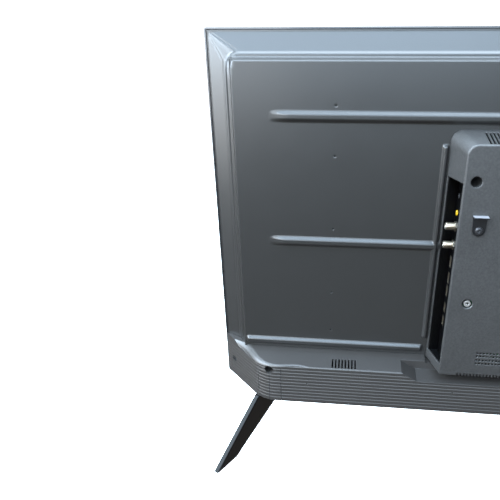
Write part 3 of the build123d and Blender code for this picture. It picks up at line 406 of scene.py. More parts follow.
@dataclass(frozen=True)
class GrainedMoulding(Finish):
    """Plastic moulded in a spark-eroded tool: small rounded pits with a dull sheen.

    Attributes:
        grain: Distance between pits in millimetres.
        depth: Their depth in millimetres.
        pit_softness: How rounded they are, from 0 to 1.
        fines: Finer bumps for each pit.
        fines_share: Their height beside that of a pit.
        speckles: Specks of colour for each pit.
        speckle_share: How much of the cloudiness is specks.
    """

    grain: float = 0.9
    depth: float = 0.03
    patches: float = 9.0
    pit_softness: float = 0.6
    fines: float = 2.2
    fines_share: float = 0.5
    speckles: float = 0.7
    speckle_share: float = 0.7

    def relief(self, graph: Graph) -> Signal:
        """Pits from a cell pattern over fine noise.

        Args:
            graph: The material's graph.

        Returns:
            The normal.
        """
        pitch = self.grain * MM
        cells = graph.node(
            "ShaderNodeTexVoronoi",
            {"feature": "SMOOTH_F1"},
            {"Vector": graph.place(), "Scale": 1.0 / pitch, "Smoothness": self.pit_softness},
        )
        height = cells + self.fines_share * graph.noise(self.fines / pitch, detail=2.0)
        return graph.bump(height, self.depth, self.edge)

    def shade(self, graph: Graph) -> Signal:
        """Cloudy colour with a faint speckle from the grain.

        Args:
            graph: The material's graph.

        Returns:
            The colour.
        """
        specks = self.speckle_share * graph.noise(self.speckles / (self.grain * MM), detail=1.0)
        clouds = (1 - self.speckle_share) * graph.noise(self.patches, detail=3.0)
        return graph.blend(clouds + specks, *self.tones(2 * self.cloud))


@dataclass(frozen=True)
class LitPaper(Finish):
    """White backdrop paper, lit evenly from behind."""

    glow: float = 0.92

    def extras(self) -> dict[str, Any]:
        """An even glow."""
        return {"Emission Color": (1.0, 1.0, 1.0, 1.0), "Emission Strength": self.glow}


@dataclass(frozen=True)
class PaintedShadeMoulding(GrainedMoulding):
    """Grained moulding with painted shade: dull black wherever its mask is 1."""

    def mask(self, graph: Graph) -> Signal:
        """1 where shade is painted."""
        raise NotImplementedError

    def shade(self, graph: Graph) -> Signal:
        """Painted shade: black under the mask, the moulding's own colour elsewhere."""
        return graph.blend(self.mask(graph), super().shade(graph), (0.0, 0.0, 0.0))

    def sheen(self, graph: Graph) -> Signal:
        """Dull under the painted shade."""
        mask = self.mask(graph)
        return super().sheen(graph) * (1.0 - mask) + mask


@dataclass(frozen=True)
class PaintedWellShadeMoulding(PaintedShadeMoulding):
    """The electronics cover, with painted shade: black inside its round screw wells."""

    well_shade_radius: float = 6.6
    lip: float = 1.0

    def mask(self, graph: Graph) -> Signal:
        """Where shade is painted: inside a well, below its lip.

        Args:
            graph: The material's graph.

        Returns:
            The mask.
        """
        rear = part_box("electronics_cover")[1].y
        # painted shade: black inside the cover's screw wells, below the lip
        wells = graph.near_axes(screw_axes("cover_screws"), self.well_shade_radius * MM)
        return wells * (graph.axis(1) < rear - self.lip * MM)


@dataclass(frozen=True)
class PaintedSeamShadeMoulding(PaintedShadeMoulding):
    """The lower cover and its leg sockets, with painted shade along their seam gaps and in their screw
    wells and holes.
    """

    seam: float = 0.45
    well_shade_radius: float = 5.7
    hole_shade_radius: float = 4.2

    def mask(self, graph: Graph) -> Signal:
        """Where shade is painted: close to a seam of a leg socket, or inside a screw well or hole.

        Args:
            graph: The material's graph.

        Returns:
            The mask.
        """
        low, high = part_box("leg_socket_right")
        across = graph.axis(0).magnitude()
        places = (low.x, (low.x + high.x) / 2, high.x)
        # painted shade along the seam gaps, in the leg screws' wells and in the chin screws' holes
        seams = graph.most([(across - place).magnitude() < self.seam * MM for place in places])
        seams = seams * (graph.axis(2) < high.z) * (graph.axis(1) > low.y)
        wells = graph.near_axes(screw_axes("leg_screws"), self.well_shade_radius * MM)
        holes = graph.near_axes(screw_axes("chin_screws"), self.hole_shade_radius * MM)
        return graph.most([seams, wells, holes])


@dataclass(frozen=True)
class BayMoulding(GrainedMoulding):
    """Deep black lining with a dull skin."""

    gloss: float = 0.25

    def extras(self) -> dict[str, Any]:
        """Little gloss."""
        return {"Specular IOR Level": self.gloss}


@dataclass(frozen=True)
class SprayedSteel(Finish):
    """Steel sheet with a fine textured coat and painted shade: black discs in its shallow pin dimples,
    standing in for holes.

    Attributes:
        ripple: Distance between the bumps of the coat in millimetres.
        peel_depth: Their height in millimetres.
        waves: Slow waves of the sheet per metre.
        wave_share: Their height beside that of a bump.
        pin_shade_radius: Radius of the painted shade in a pin dimple, in millimetres.
    """

    ripple: float = 1.6
    peel_depth: float = 0.04
    waves: float = 6.0
    wave_share: float = 9.0
    pin_shade_radius: float = 1.15

    def pin_hole_shade(self, graph: Graph) -> Signal:
        """1 where shade is painted in the pin dimples of the back."""
        # painted shade: black discs in the pin dimples
        axes = [(x * MM, z * MM) for x, z in PressedBack().dimples()]
        return graph.near_axes(axes, self.pin_shade_radius * MM)

    def shade(self, graph: Graph) -> Signal:
        """Painted shade: black discs in the pin dimples of the cloudy coat."""
        return graph.blend(self.pin_hole_shade(graph), super().shade(graph), (0.0, 0.0, 0.0))

    def sheen(self, graph: Graph) -> Signal:
        """Dull where shade is painted in the pin dimples."""
        pin_hole_shade = self.pin_hole_shade(graph)
        return super().sheen(graph) * (1.0 - pin_hole_shade) + pin_hole_shade

    def relief(self, graph: Graph) -> Signal:
        """Orange peel with very long, faint waves of the sheet.

        Args:
            graph: The material's graph.

        Returns:
            The normal.
        """
        peel = graph.noise(1.0 / (self.ripple * MM), detail=3.0)
        height = peel + self.wave_share * graph.noise(self.waves, detail=1.0)
        return graph.bump(height, self.peel_depth, self.edge)


@dataclass(frozen=True)
class PolishedMoulding(Finish):
    """High-gloss plastic with a slow flow and a clear coat.

    Attributes:
        coat: Weight of the clear coat.
        coat_roughness: Its roughness.
        gloss: Specular level.
        flow: Waves of the moulding per metre.
        flow_depth: Their height in millimetres.
    """

    coat: float = 0.6
    coat_roughness: float = 0.06
    gloss: float = 0.5
    flow: float = 25.0
    flow_depth: float = 0.06

    def extras(self) -> dict[str, Any]:
        """Clear coat over the colour."""
        return {
            "Coat Weight": self.coat,
            "Coat Roughness": self.coat_roughness,
            "Specular IOR Level": self.gloss,
        }

    def relief(self, graph: Graph) -> Signal:
        """Only a slow flow of the moulding."""
        waves = graph.noise(self.flow, detail=1.0)
        return graph.bump(waves, self.flow_depth, self.edge)


@dataclass(frozen=True)
class BrushedMetal(Finish):
    """Plated or rolled metal with fine lines along one axis.

    Attributes:
        lines: Streaks per metre along each axis.
        line_depth: Their depth in millimetres.
    """

    lines: Point = (40.0, 2500.0, 2500.0)
    line_depth: float = 0.01

    def relief(self, graph: Graph) -> Signal:
        """Lines from stretched noise."""
        streaks = graph.noise(1.0, detail=3.0, where=graph.stretched(self.lines))
        return graph.bump(streaks, self.line_depth, self.edge)


@dataclass(frozen=True)
class HighlitSteel(BrushedMetal):
    """Blackened steel with a painted highlight: its faces that look up are coloured lighter.

    Attributes:
        painted_highlight: Colour of the painted highlight on the upward faces.
        least_up: Least upward part of a highlighted face's normal.
    """

    painted_highlight: Colour = (0.31, 0.31, 0.33)
    least_up: float = 0.6

    def shade(self, graph: Graph) -> Signal:
        """Painted highlight: a light colour where the surface faces up, black elsewhere.

        Args:
            graph: The material's graph.

        Returns:
            The colour.
        """
        normal = graph.node("ShaderNodeNewGeometry", output="Normal")
        upward = graph.node("ShaderNodeSeparateXYZ", None, {"Vector": normal}, "Z")
        # painted highlight on the faces that look up
        return graph.blend(upward > self.least_up, super().shade(graph), self.painted_highlight)


@dataclass(frozen=True)
class CircuitBoard(Finish):
    """Lacquered board with tracks under the lacquer.

    Attributes:
        pitch: Distance between tracks in millimetres.
        gap: Distance from a cell's middle to its tracks, in cells.
        gain: How much lighter a track is than the ground.
        lift: What is added to its colour besides.
    """

    pitch: float = 2.4
    gap: float = 0.42
    gain: float = 1.9
    lift: float = 0.01

    def shade(self, graph: Graph) -> Signal:
        """Tracks a little lighter than the ground.

        Args:
            graph: The material's graph.

        Returns:
            The colour.
        """
        cells = graph.node(
            "ShaderNodeTexVoronoi",
            {"feature": "F1", "distance": "CHEBYCHEV"},
            {"Vector": graph.place(), "Scale": 1.0 / (self.pitch * MM)},
        )
        track = tuple(min(1.0, self.gain * c + self.lift) for c in self.colour)
        return graph.blend(cells > self.gap, self.colour, track)


@dataclass(frozen=True)
class ClearMoulding(Finish):
    """Clear or tinted plastic."""

    clearness: float = 0.9
    refraction: float = 1.49

    def extras(self) -> dict[str, Any]:
        """Light passes through."""
        return {"Transmission Weight": self.clearness, "IOR": self.refraction}


class Finishes(Enum):
    """Every finish of the set."""

    BACK_STEEL = SprayedSteel("back_steel", (0.0135, 0.0131, 0.0125), 0.31, cloud=0.05, edge=0.5)
    COVER = PaintedWellShadeMoulding(
        "cover_moulding", (0.0245, 0.0240, 0.0235), 0.42, cloud=0.32, edge=2.2, grain=1.7, depth=0.09
    )
    CHIN = PaintedSeamShadeMoulding("chin_moulding", (0.0205, 0.0188, 0.0176), 0.37, grain=0.7, edge=0.5)
    TRAY = BayMoulding("tray_moulding", (0.0025, 0.0025, 0.003), 0.5, edge=0.3)
    BEZEL = PolishedMoulding("bezel_moulding", (0.014, 0.014, 0.016), 0.28, edge=0.4)
    LEG = PolishedMoulding("leg_moulding", (0.002, 0.002, 0.0022), 0.10, edge=0.7, coat=0.0, gloss=0.36)
    SCREEN = Finish("screen_film", (0.006, 0.006, 0.007), 0.30, cloud=0.03, edge=0.1)
    RUBBER = GrainedMoulding("foot_rubber", (0.020, 0.020, 0.020), 0.85)
    ZINC = BrushedMetal("zinc_plating", (0.80, 0.80, 0.79), 0.42, 1.0, edge=0.2)
    BLACKENED = BrushedMetal("blackened_steel", (0.030, 0.030, 0.032), 0.38, 0.6, edge=0.25)
    # painted shade: screws sunk in wells and holes are coloured near black, as the shade in their wells
    SUNK = GrainedMoulding("near_black_screw_shade", (0.004, 0.004, 0.004), 0.75, grain=0.3, edge=0.2)
    # painted highlight: the cable bracket's upward faces are coloured lighter
    RUBBED = HighlitSteel("highlit_black_steel", (0.012, 0.012, 0.013), 0.34, 0.5, edge=0.25)
    NICKEL = BrushedMetal("nickel_plating", (0.46, 0.42, 0.35), 0.30, 1.0, edge=0.15)
    ALUMINIUM = BrushedMetal("rolled_aluminium", (0.72, 0.72, 0.73), 0.35, 1.0, edge=0.2)
    WHITE = GrainedMoulding("white_moulding", (0.78, 0.78, 0.77), 0.5, cloud=0.02)
    FILM = Finish("optical_film", (0.82, 0.82, 0.81), 0.45, cloud=0.02, edge=0.05)
    LENS = ClearMoulding("lamp_lens", (0.95, 0.95, 0.95), 0.06, cloud=0.01)
    BOARD = CircuitBoard("board_lacquer", (0.012, 0.085, 0.030), 0.28, edge=0.1)
    FERRITE = Finish("ferrite_and_tape", (0.085, 0.070, 0.030), 0.5, edge=0.3)
    SLEEVE = PolishedMoulding("capacitor_sleeve", (0.012, 0.014, 0.040), 0.25)
    JACK = GrainedMoulding("jack_moulding", (0.012, 0.012, 0.012), 0.5, grain=0.4, edge=0.15)
    YELLOW = PolishedMoulding("yellow_moulding", (0.46, 0.28, 0.01), 0.35, edge=0.15)
    DARK_LENS = ClearMoulding("sensor_window", (0.05, 0.006, 0.010), 0.12, clearness=0.4)
    BACKDROP = LitPaper("backdrop_paper", (0.80, 0.80, 0.80), 0.8, cloud=0.005)

    def material(self) -> bpy.types.Material:
        """This finish's material, made once."""
        found = bpy.data.materials.get(self.value.name)
        return found or self.value.build()


SLOT_FINISHES = {
    "bezel_gloss": Finishes.BEZEL,
    "screen": Finishes.SCREEN,
    "pan_steel": Finishes.BACK_STEEL,
    "cover_plastic": Finishes.COVER,
    "chin_plastic": Finishes.CHIN,
    "tray_black": Finishes.TRAY,
    "leg_gloss": Finishes.LEG,
    "pad_rubber": Finishes.RUBBER,
    "zinc_steel": Finishes.ZINC,
    "black_steel": Finishes.BLACKENED,
    "nickel": Finishes.NICKEL,
    "white_plastic": Finishes.WHITE,
    "optical_film": Finishes.FILM,
    "acrylic": Finishes.LENS,
    "aluminium": Finishes.ALUMINIUM,
    "circuit_board": Finishes.BOARD,
    "ferrite": Finishes.FERRITE,
    "capacitor_sleeve": Finishes.SLEEVE,
    "jack_black": Finishes.JACK,
    "jack_yellow": Finishes.YELLOW,
    "lens_dark": Finishes.DARK_LENS,
}

NODE_FINISHES = {
    "cable_bracket": Finishes.RUBBED,
    # painted shade: these screws are coloured near black like the shade of their wells
    "leg_screws": Finishes.SUNK,
    "chin_screws": Finishes.SUNK,
    "cover_screws": Finishes.SUNK,
}


def dress_nodes() -> None:
    """Give every node of the frame its own finish or that of its slot."""
    for part in frame["record"]["subparts"]:
        made = frame["nodes"][part["node"]]
        finish = NODE_FINISHES.get(part["node"], SLOT_FINISHES[part["material_slot"]])
        made.data.materials.clear()
        made.data.materials.append(finish.material())
        LOG.info("node %s wears %s", part["node"], made.data.materials[0].name)


def show(
    name: str,
    mesh: bpy.types.Mesh,
    finish: Finishes,
    crease: float = SMOOTH,
) -> bpy.types.Object:
    """Put a mesh in the scene as a piece that rides on the set.

    Args:
        name: The piece's name.
        mesh: Its mesh, in metres, in place.
        finish: Its finish.
        crease: Angle in degrees from which an edge stays sharp.

    Returns:
        The new object.
    """
    made = bpy.data.objects.new(name, mesh)
    bpy.context.scene.collection.objects.link(made)
    mesh.materials.append(finish.material())
    mesh.shade_smooth()
    mesh.set_sharp_from_angle(angle=math.radians(crease))
    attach(made, SET_BODY)
    LOG.info("piece %s: %d faces", name, len(mesh.polygons))
    return made


def mesh_of(name: str, built: bmesh.types.BMesh) -> bpy.types.Mesh:
    """Turn a bmesh into a mesh with outward faces.

    Args:
        name: The mesh's name.
        built: The bmesh, which is freed.

    Returns:
        The mesh.
    """
    bmesh.ops.recalc_face_normals(built, faces=built.faces)
    mesh = bpy.data.meshes.new(name)
    built.to_mesh(mesh)
    built.free()
    return mesh


@dataclass
class Bead:
    """A long raised fold pressed into the sheet, from one end to the other.

    Attributes:
        start: X and Z of one end of its middle line.
        end: X and Z of the other end.
        half: Half its width at the foot.
        height: Its height.
        fade: Length over which an end runs out into the sheet.
        crown: Share of the half width that stays flat on top.
        margin: How far past the fold the grid stays fine.
    """

    start: Pair
    end: Pair
    half: float
    height: float
    fade: float
    crown: float = 0.30
    margin: float = 1.0

    def rise(self, x: np.ndarray, z: np.ndarray) -> np.ndarray:
        """Height of the fold over points of the sheet.

        Args:
            x: X of the points.
            z: Z of the points.

        Returns:
            The height at each point.
        """
        (x0, z0), (x1, z1) = self.start, self.end
        run = math.hypot(x1 - x0, z1 - z0)
        along = ((x - x0) * (x1 - x0) + (z - z0) * (z1 - z0)) / run
        across = np.abs((x - x0) * (z1 - z0) - (z - z0) * (x1 - x0)) / run
        beyond = np.maximum(-along, along - run).clip(0.0, None)
        share = np.clip((self.half - across) / (self.half * (1 - self.crown)), 0.0, 1.0)
        taper = np.clip(1 - beyond / self.fade, 0.0, 1.0)
        rounded = taper * taper * (3 - 2 * taper)
        return self.height * share * share * (3 - 2 * share) * rounded

    def marks(self) -> tuple[list[Pair], list[Pair]]:
        """Ranges of X and of Z where the sheet needs fine lines.

        Returns:
            The ranges of X and those of Z.
        """
        spread = self.half + self.margin
        reach = self.fade + self.margin
        upright = abs(self.end[0] - self.start[0]) < spread
        ends = (self.start, self.end)
        if upright:
            return (
                [(self.start[0] - spread, self.start[0] + spread)],
                [(p[1] - reach, p[1] + reach) for p in ends],
            )
        return (
            [(p[0] - reach, p[0] + reach) for p in ends],
            [(self.start[1] - spread, self.start[1] + spread)],
        )


@dataclass
class PressedBack:
    """The steel back: one pressed sheet with a bevelled edge, steps, beads and dimples.

    A reach is measured from the middle of the set and a drop down from its top. A half is half a
    bead's width, a fade the length of its end, and the dimples' shares are of the set's height.

    Attributes:
        sheet: Thickness of the sheet.
        fine: Spacing of the grid where the sheet bends.
        coarse: Its spacing elsewhere.
        corner: Size of the rounding at the corners of the inner steps.
        cone_radius: Radius of the bevel's corner at its inner edge.
        fillet: Half the width over which a fold is rounded.
        fillet_taps: Readings that are averaged over it.
        ring: Width of the flat ring at the edge.
        bevel: Width of the bevel inside it.
        roll: Width of the steeper fold inside the bevel.
        land: Width of the narrow land inside that.
        step: Width of the last fold, up to the flat back.
        rises: How far back the bevel, the roll and the land come.
        step_rise: How far back the last fold comes.
        floor_y: Y of the flat back.
    """

    sheet: float = 1.0
    fine: float = 0.75
    coarse: float = 14.0
    corner: float = 6.0
    cone_radius: float = 16.5
    fillet: float = 0.8
    fillet_taps: int = 7
    ring: float = 2.0
    bevel: float = 22.0
    roll: float = 2.5
    land: float = 4.0
    step: float = 3.0
    rises: tuple[float, ...] = (11.6, 3.4, 1.0)
    step_rise: float = 12.6
    floor_y: float = 2.0
    bead_height: float = 4.0
    long_half: float = 7.2
    top_reach: float = 330.0
    top_drop: float = 98.7
    top_fade: float = 26.0
    side_reach: float = 337.0
    side_drop: float = 260.5
    side_fade: float = 24.0
    fold_half: float = 6.4
    fold_reach: float = 393.0
    fold_drop: float = 418.5
    fold_fade: float = 5.0
    frame_reach: float = 141.2
    frame_gap: float = 5.0
    frame_half: float = 3.8
    frame_drops: Pair = (398.0, 132.5)
    frame_fade: float = 3.6
    dimple_radius: float = 1.9
    dimple_depth: float = 0.7
    dimple_power: float = 0.7
    dimple_columns: tuple[float, ...] = (-273.6, 0.0, 273.6)
    dimple_shares: tuple[float, ...] = (0.173, 0.2943, 0.487, 0.6757, 0.7977)
    crease_share: float = 0.84
    crease_half: float = 0.75
    crease_depth: float = 0.45
    low: Vector = field(default_factory=lambda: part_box("back_pan")[0] / MM)
    high: Vector = field(default_factory=lambda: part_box("back_pan")[1] / MM)

    def bead(self, start: Pair, end: Pair, half: float, fade: float) -> Bead:
        """One fold, with its ends given by X and drop.

        Args:
            start: X and drop of one end.
            end: X and drop of the other end.
            half: Half its width.
            fade: Length of its ends.

        Returns:
            The fold.
        """
        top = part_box("front_bezel")[1].z / MM
        low, high = ((x, top - drop) for x, drop in (start, end))
        return Bead(low, high, half, self.bead_height, fade)

    def beads(self) -> list[Bead]:
        """Every fold of the sheet.

        Returns:
            The folds.
        """
        ends = [(side * self.top_reach, self.top_drop) for side in (-1, 1)]
        made = [self.bead(*ends, self.long_half, self.top_fade)]
        for side in (-1, 1):
            inner = side * (self.frame_reach + self.frame_gap)
            side_end = (side * self.side_reach, self.side_drop)
            fold_end = (side * self.fold_reach, self.fold_drop)
            low, high = ((side * self.frame_reach, drop) for drop in self.frame_drops)
            made += [
                self.bead((inner, self.side_drop), side_end, self.long_half, self.side_fade),
                self.bead((inner, self.fold_drop), fold_end, self.fold_half, self.fold_fade),
                self.bead(low, high, self.frame_half, self.frame_fade),
            ]
        return made

    def profile(self) -> tuple[np.ndarray, np.ndarray]:
        """Inset from the sheet's edge and depth of each fold of its rim.

        Returns:
            Insets and depths.
        """
        widths = (self.ring, self.bevel, self.roll, self.land)
        depth = self.floor_y - self.step_rise - sum(self.rises)
        insets, depths = [0.0], [depth]
        for width, rise in zip(widths, (0.0, *self.rises)):
            insets.append(insets[-1] + width)
            depths.append(depths[-1] + rise)
        insets.append(insets[-1] + self.step)
        depths.append(self.floor_y)
        return np.array(insets), np.array(depths)

    def lines(self, low: float, high: float, marks: Sequence[Pair]) -> np.ndarray:
        """Grid lines from low to high, close together in the marked ranges.

        Args:
            low: The first line.
            high: The last line.
            marks: The ranges.

        Returns:
            The lines, in order.
        """
        places = list(np.arange(low, high, self.coarse)) + [low, high]
        for start, end in marks:
            count = max(2, int((end - start) / self.fine))
            places += list(np.linspace(start, end, count))
        places = sorted(p for p in places if low <= p <= high)
        kept = [places[0]]
        for place in places[1:]:
            if place - kept[-1] > self.fine / 2:
                kept.append(place)
        kept[-1] = high
        return np.array(kept)

    def cone_inset(self, from_side: np.ndarray, from_top: np.ndarray) -> np.ndarray:
        """Inset whose corner is rounded by a cone that opens from the sheet's own corner.

        Args:
            from_side: Distance from the nearer upright edge.
            from_top: Distance from the nearer level edge.

        Returns:
            The inset of the rounded ring through each point.
        """
        k = self.cone_radius / (self.ring + self.bevel)
        a = 2 * (1 + k) ** 2 - k * k
        b = 2 * (1 + k) * (from_side + from_top)
        c = from_side**2 + from_top**2
        rounded = (b + np.sqrt(np.clip(b * b - 4 * a * c, 0.0, None))) / (2 * a)
        near = np.minimum(from_side, from_top)
        far = np.maximum(from_side, from_top)
        return np.where(near * (1 + k) > far, rounded, near)

    def depth_at(self, x: np.ndarray, z: np.ndarray) -> np.ndarray:
        """Depth of the outer face over points of the sheet.

        Args:
            x: X of the points.
            z: Z of the points.

        Returns:
            The depth at each point.
        """
        insets, depths = self.profile()
        split = self.ring + self.bevel + self.roll
        from_side = np.minimum(x - self.low.x, self.high.x - x)
        from_top = np.minimum(z - self.low.z, self.high.z - z)
        cone = self.cone_inset(from_side, from_top)
        near = np.clip(self.corner - np.abs(from_side - from_top), 0.0, None) / self.corner
        square = np.minimum(from_side, from_top) - near * near * self.corner / 4
        taps = np.linspace(-self.fillet, self.fillet, self.fillet_taps)
        bevel_depth = np.interp(split, insets, depths)
        outer = [np.interp(np.minimum(cone + tap, split), insets, depths) for tap in taps]
        inner = [np.interp(np.maximum(square + tap, split), insets, depths) for tap in taps]
        depth = np.mean(outer, axis=0) + np.mean(inner, axis=0) - bevel_depth
        depth += np.max([bead.rise(x, z) for bead in self.beads()], axis=0)
        for middle_x, middle_z in self.dimples():
            away = np.hypot(x - middle_x, z - middle_z)
            share = np.clip(1 - away / self.dimple_radius, 0, 1)
            depth -= self.dimple_depth * share**self.dimple_power
        return depth - self.creases(from_side, from_top)

    def dimples(self) -> list[Pair]:
        """X and Z of each pin hole.

        Returns:
            One pair for each hole.
        """
        low, high = (corner.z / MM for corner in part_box("front_bezel"))
        rows = [high - share * (high - low) for share in self.dimple_shares]
        return [(column, row) for column in self.dimple_columns for row in rows]

    def creases(self, from_side: np.ndarray, from_top: np.ndarray) -> np.ndarray:
        """Depth of the rim's fine creases, along each mitre and each upright side.

        Args:
            from_side: Distance from the nearer upright edge.
            from_top: Distance from the nearer level edge.

        Returns:
            The depth at each point.
        """
        slope = 1 + self.cone_radius / (self.ring + self.bevel)
        near = np.minimum(from_side, from_top)
        far = np.maximum(from_side, from_top)
        mitre = np.abs(far - near * slope) / math.hypot(1, slope)
        side = np.abs(from_side - self.ring - self.crease_share * self.bevel)
        side = np.where(from_top > from_side * slope, side, self.bevel)
        away = np.minimum(mitre, side)
        reach = np.clip((self.ring + self.bevel - near) / self.roll, 0.0, 1.0)
        start = np.clip((near - self.ring) / self.ring, 0.0, 1.0)
        return self.crease_depth * np.exp(-((away / self.crease_half) ** 2)) * reach * start

    def marks(self) -> tuple[list[Pair], list[Pair]]:
        """Ranges of X and of Z where the grid needs fine lines.

        Returns:
            The ranges of X and those of Z.
        """
        rim = float(self.profile()[0][-1]) + 2 * self.fillet
        marks_x = [(self.low.x, self.low.x + rim), (self.high.x - rim, self.high.x)]
        marks_z = [(self.low.z, self.low.z + rim), (self.high.z - rim, self.high.z)]
        for bead in self.beads():
            more_x, more_z = bead.marks()
            marks_x += more_x
            marks_z += more_z
        reach = self.dimple_radius + self.fine
        for middle_x, middle_z in self.dimples():
            marks_x.append((middle_x - reach, middle_x + reach))
            marks_z.append((middle_z - reach, middle_z + reach))
        return marks_x, marks_z

    @staticmethod
    def border(wide: int, tall: int) -> list[int]:
        """Numbers of a grid's outer points, once around.

        Args:
            wide: Points along X.
            tall: Points along Z.

        Returns:
            The numbers, in order.
        """
        loop = [i * tall for i in range(wide)]
        loop += [(wide - 1) * tall + j for j in range(1, tall)]
        loop += [i * tall + tall - 1 for i in range(wide - 2, -1, -1)]
        return loop + list(range(tall - 2, 0, -1))

    def outer_face(self) -> bpy.types.Mesh:
        """The sheet's outer face on a grid, with a skirt forward to its edge.

        Returns:
            The mesh.
        """
        marks_x, marks_z = self.marks()
        xs = self.lines(self.low.x, self.high.x, marks_x)
        zs = self.lines(self.low.z, self.high.z, marks_z)
        grid_x, grid_z = np.meshgrid(xs, zs, indexing="ij")
        depth = self.depth_at(grid_x, grid_z)
        outer = np.stack([grid_x, depth, grid_z], -1).reshape(-1, 3)
        border = self.border(*grid_x.shape)
        skirt = outer[border]
        skirt[:, 1] = self.low.y
        points = np.concatenate([outer, skirt]) * MM
        index = np.arange(len(outer)).reshape(grid_x.shape)
        quads = np.stack([index[:-1, :-1], index[:-1, 1:], index[1:, 1:], index[1:, :-1]], -1)
        faces = quads.reshape(-1, 4).tolist()
        first, count = len(outer), len(border)
        for i in range(count):
            j = (i + 1) % count
            faces.append([border[i], border[j], first + j, first + i])
        mesh = bpy.data.meshes.new("pressed_back")
        mesh.from_pydata(points.tolist(), [], faces)
        mesh.validate()
        return mesh

    def build(self) -> None:
        """Make the sheet with its wall, in place of its node."""
        mesh = self.outer_face()
        built = bmesh.new()
        built.from_mesh(mesh)
        bmesh.ops.recalc_face_normals(built, faces=built.faces)
        flattest = max(built.faces, key=lambda face: abs(face.normal.y))
        if flattest.normal.y < 0:
            bmesh.ops.reverse_faces(built, faces=built.faces)
        built.to_mesh(mesh)
        built.free()
        piece = show("pressed_back", mesh, Finishes.BACK_STEEL)
        wall = piece.modifiers.new("wall", "SOLIDIFY")
        wall.thickness = self.sheet * MM
        wall.offset = -1.0
        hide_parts("back_pan")


def turned(
    built: bmesh.types.BMesh,
    stations: Sequence[Pair],
    spot: Point,
    axis: Vector,
    segments: int = 40,
) -> None:
    """Add a turned body to a mesh.

    Args:
        built: The mesh to add to.
        stations: Distance along the axis and radius of each ring; a radius of 0 closes an end.
        spot: Where the axis starts, in millimetres.
        axis: Direction of the axis.
        segments: Faces around.
    """
    level = axis.orthogonal().normalized()
    upright = axis.cross(level)
    origin = Vector(spot)
    rings = []
    for along, radius in stations:
        centre = origin + axis * along
        if radius <= 0:
            rings.append([built.verts.new(centre * MM)])
            continue
        turns = [2 * math.pi * i / segments for i in range(segments)]
        ring = [centre + (level * math.cos(t) + upright * math.sin(t)) * radius for t in turns]
        rings.append([built.verts.new(point * MM) for point in ring])
    for a, b in zip(rings[:-1], rings[1:]):
        for i in range(segments):
            j = (i + 1) % segments
            corners = [a[i % len(a)], a[j % len(a)], b[j % len(b)], b[i % len(b)]]
            built.faces.new(list(dict.fromkeys(corners)))


@dataclass
class AerialSockets:
    """Two aerial sockets: can, threaded barrel and the white insulator in its mouth."""

    thread_radius: float = 4.76
    root_radius: float = 4.30
    neck_radius: float = 4.40
    pitch: float = 0.80
    lead_in: float = 0.9
    rim: float = 0.7
    mouth_depth: float = 1.2
    contact_radius: float = 0.9
    contact_depth: float = 9.0
    can_half: float = 7.0
    neck_length: float = 4.5
    can_edge: float = 0.6

    def build(self) -> None:
        """Make both sockets and their insulators."""
        low, high = (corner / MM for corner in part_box("antenna_sockets"))
        metal, white = bmesh.new(), bmesh.new()
        nuts_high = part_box("antenna_nuts")[1].x / MM
        axis_y = high.y - self.can_half
        for z in (low.z + self.can_half, high.z - self.can_half):
            spot = (0.0, axis_y, z)
            self.can(metal, low, nuts_high - self.neck_length, axis_y, z)
            self.barrel(metal, nuts_high - self.neck_length, nuts_high, high.x, spot)
            bottom = high.x - self.mouth_depth
            stations = [
                (bottom, self.thread_radius - self.rim),
                (bottom, self.contact_radius),
                (high.x - self.contact_depth, self.contact_radius),
                (high.x - self.contact_depth, 0.0),
            ]
            turned(white, stations, spot, Vector((1, 0, 0)))
        mesh = mesh_of("aerial_sockets", metal)
        piece = show("aerial_sockets", mesh, Finishes.NICKEL, crease=METAL_CREASE)
        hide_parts("antenna_sockets")
        mesh = mesh_of("aerial_insulators", white)
        show("aerial_insulators", mesh, Finishes.WHITE, crease=METAL_CREASE)

    def can(self, built: bmesh.types.BMesh, low: Vector, end: float, y: float, z: float) -> None:
        """Add the soldered can behind the plate, with soft edges.

        Args:
            built: The mesh to add to.
            low: Lowest corner of both sockets.
            end: X of the can's outer face.
            y: Y of the socket's axis.
            z: Z of that axis.
        """
        size = (end - low.x, y + self.can_half - low.y, 2 * self.can_half)
        middle = (low.x + size[0] / 2, low.y + size[1] / 2, z)
        turn = Matrix.Translation(Vector(middle) * MM) @ Matrix.Diagonal((*(s * MM for s in size), 1))
        made = bmesh.ops.create_cube(built, size=1.0, matrix=turn)
        edges = list(dict.fromkeys(edge for vert in made["verts"] for edge in vert.link_edges))
        bmesh.ops.bevel(built, geom=edges, offset=self.can_edge * MM, segments=2, affect="EDGES")

    def barrel(
        self, built: bmesh.types.BMesh, start: float, neck_end: float, end: float, spot: Point
    ) -> None:
        """Add one threaded barrel along X.

        Args:
            built: The mesh to add to.
            start: Where the neck leaves the can.
            neck_end: Where the thread starts.
            end: The barrel's free end.
            spot: A point of its axis at X of 0.
        """
        stations = [(start, 0.0), (start, self.neck_radius), (neck_end, self.neck_radius)]
        place = neck_end + self.pitch / 2
        while place < end - self.lead_in - self.pitch:
            stations += [(place, self.thread_radius), (place + self.pitch / 4, self.thread_radius)]
            stations += [(place + self.pitch / 2, self.root_radius)]
            place += self.pitch
        bottom = end - self.mouth_depth
        stations += [
            (end - self.lead_in, self.thread_radius),
            (end, self.root_radius),
            (end, self.thread_radius - self.rim),
            (bottom, self.thread_radius - self.rim),
            (bottom, self.contact_radius + self.rim),
        ]
        turned(built, stations, spot, Vector((1, 0, 0)))


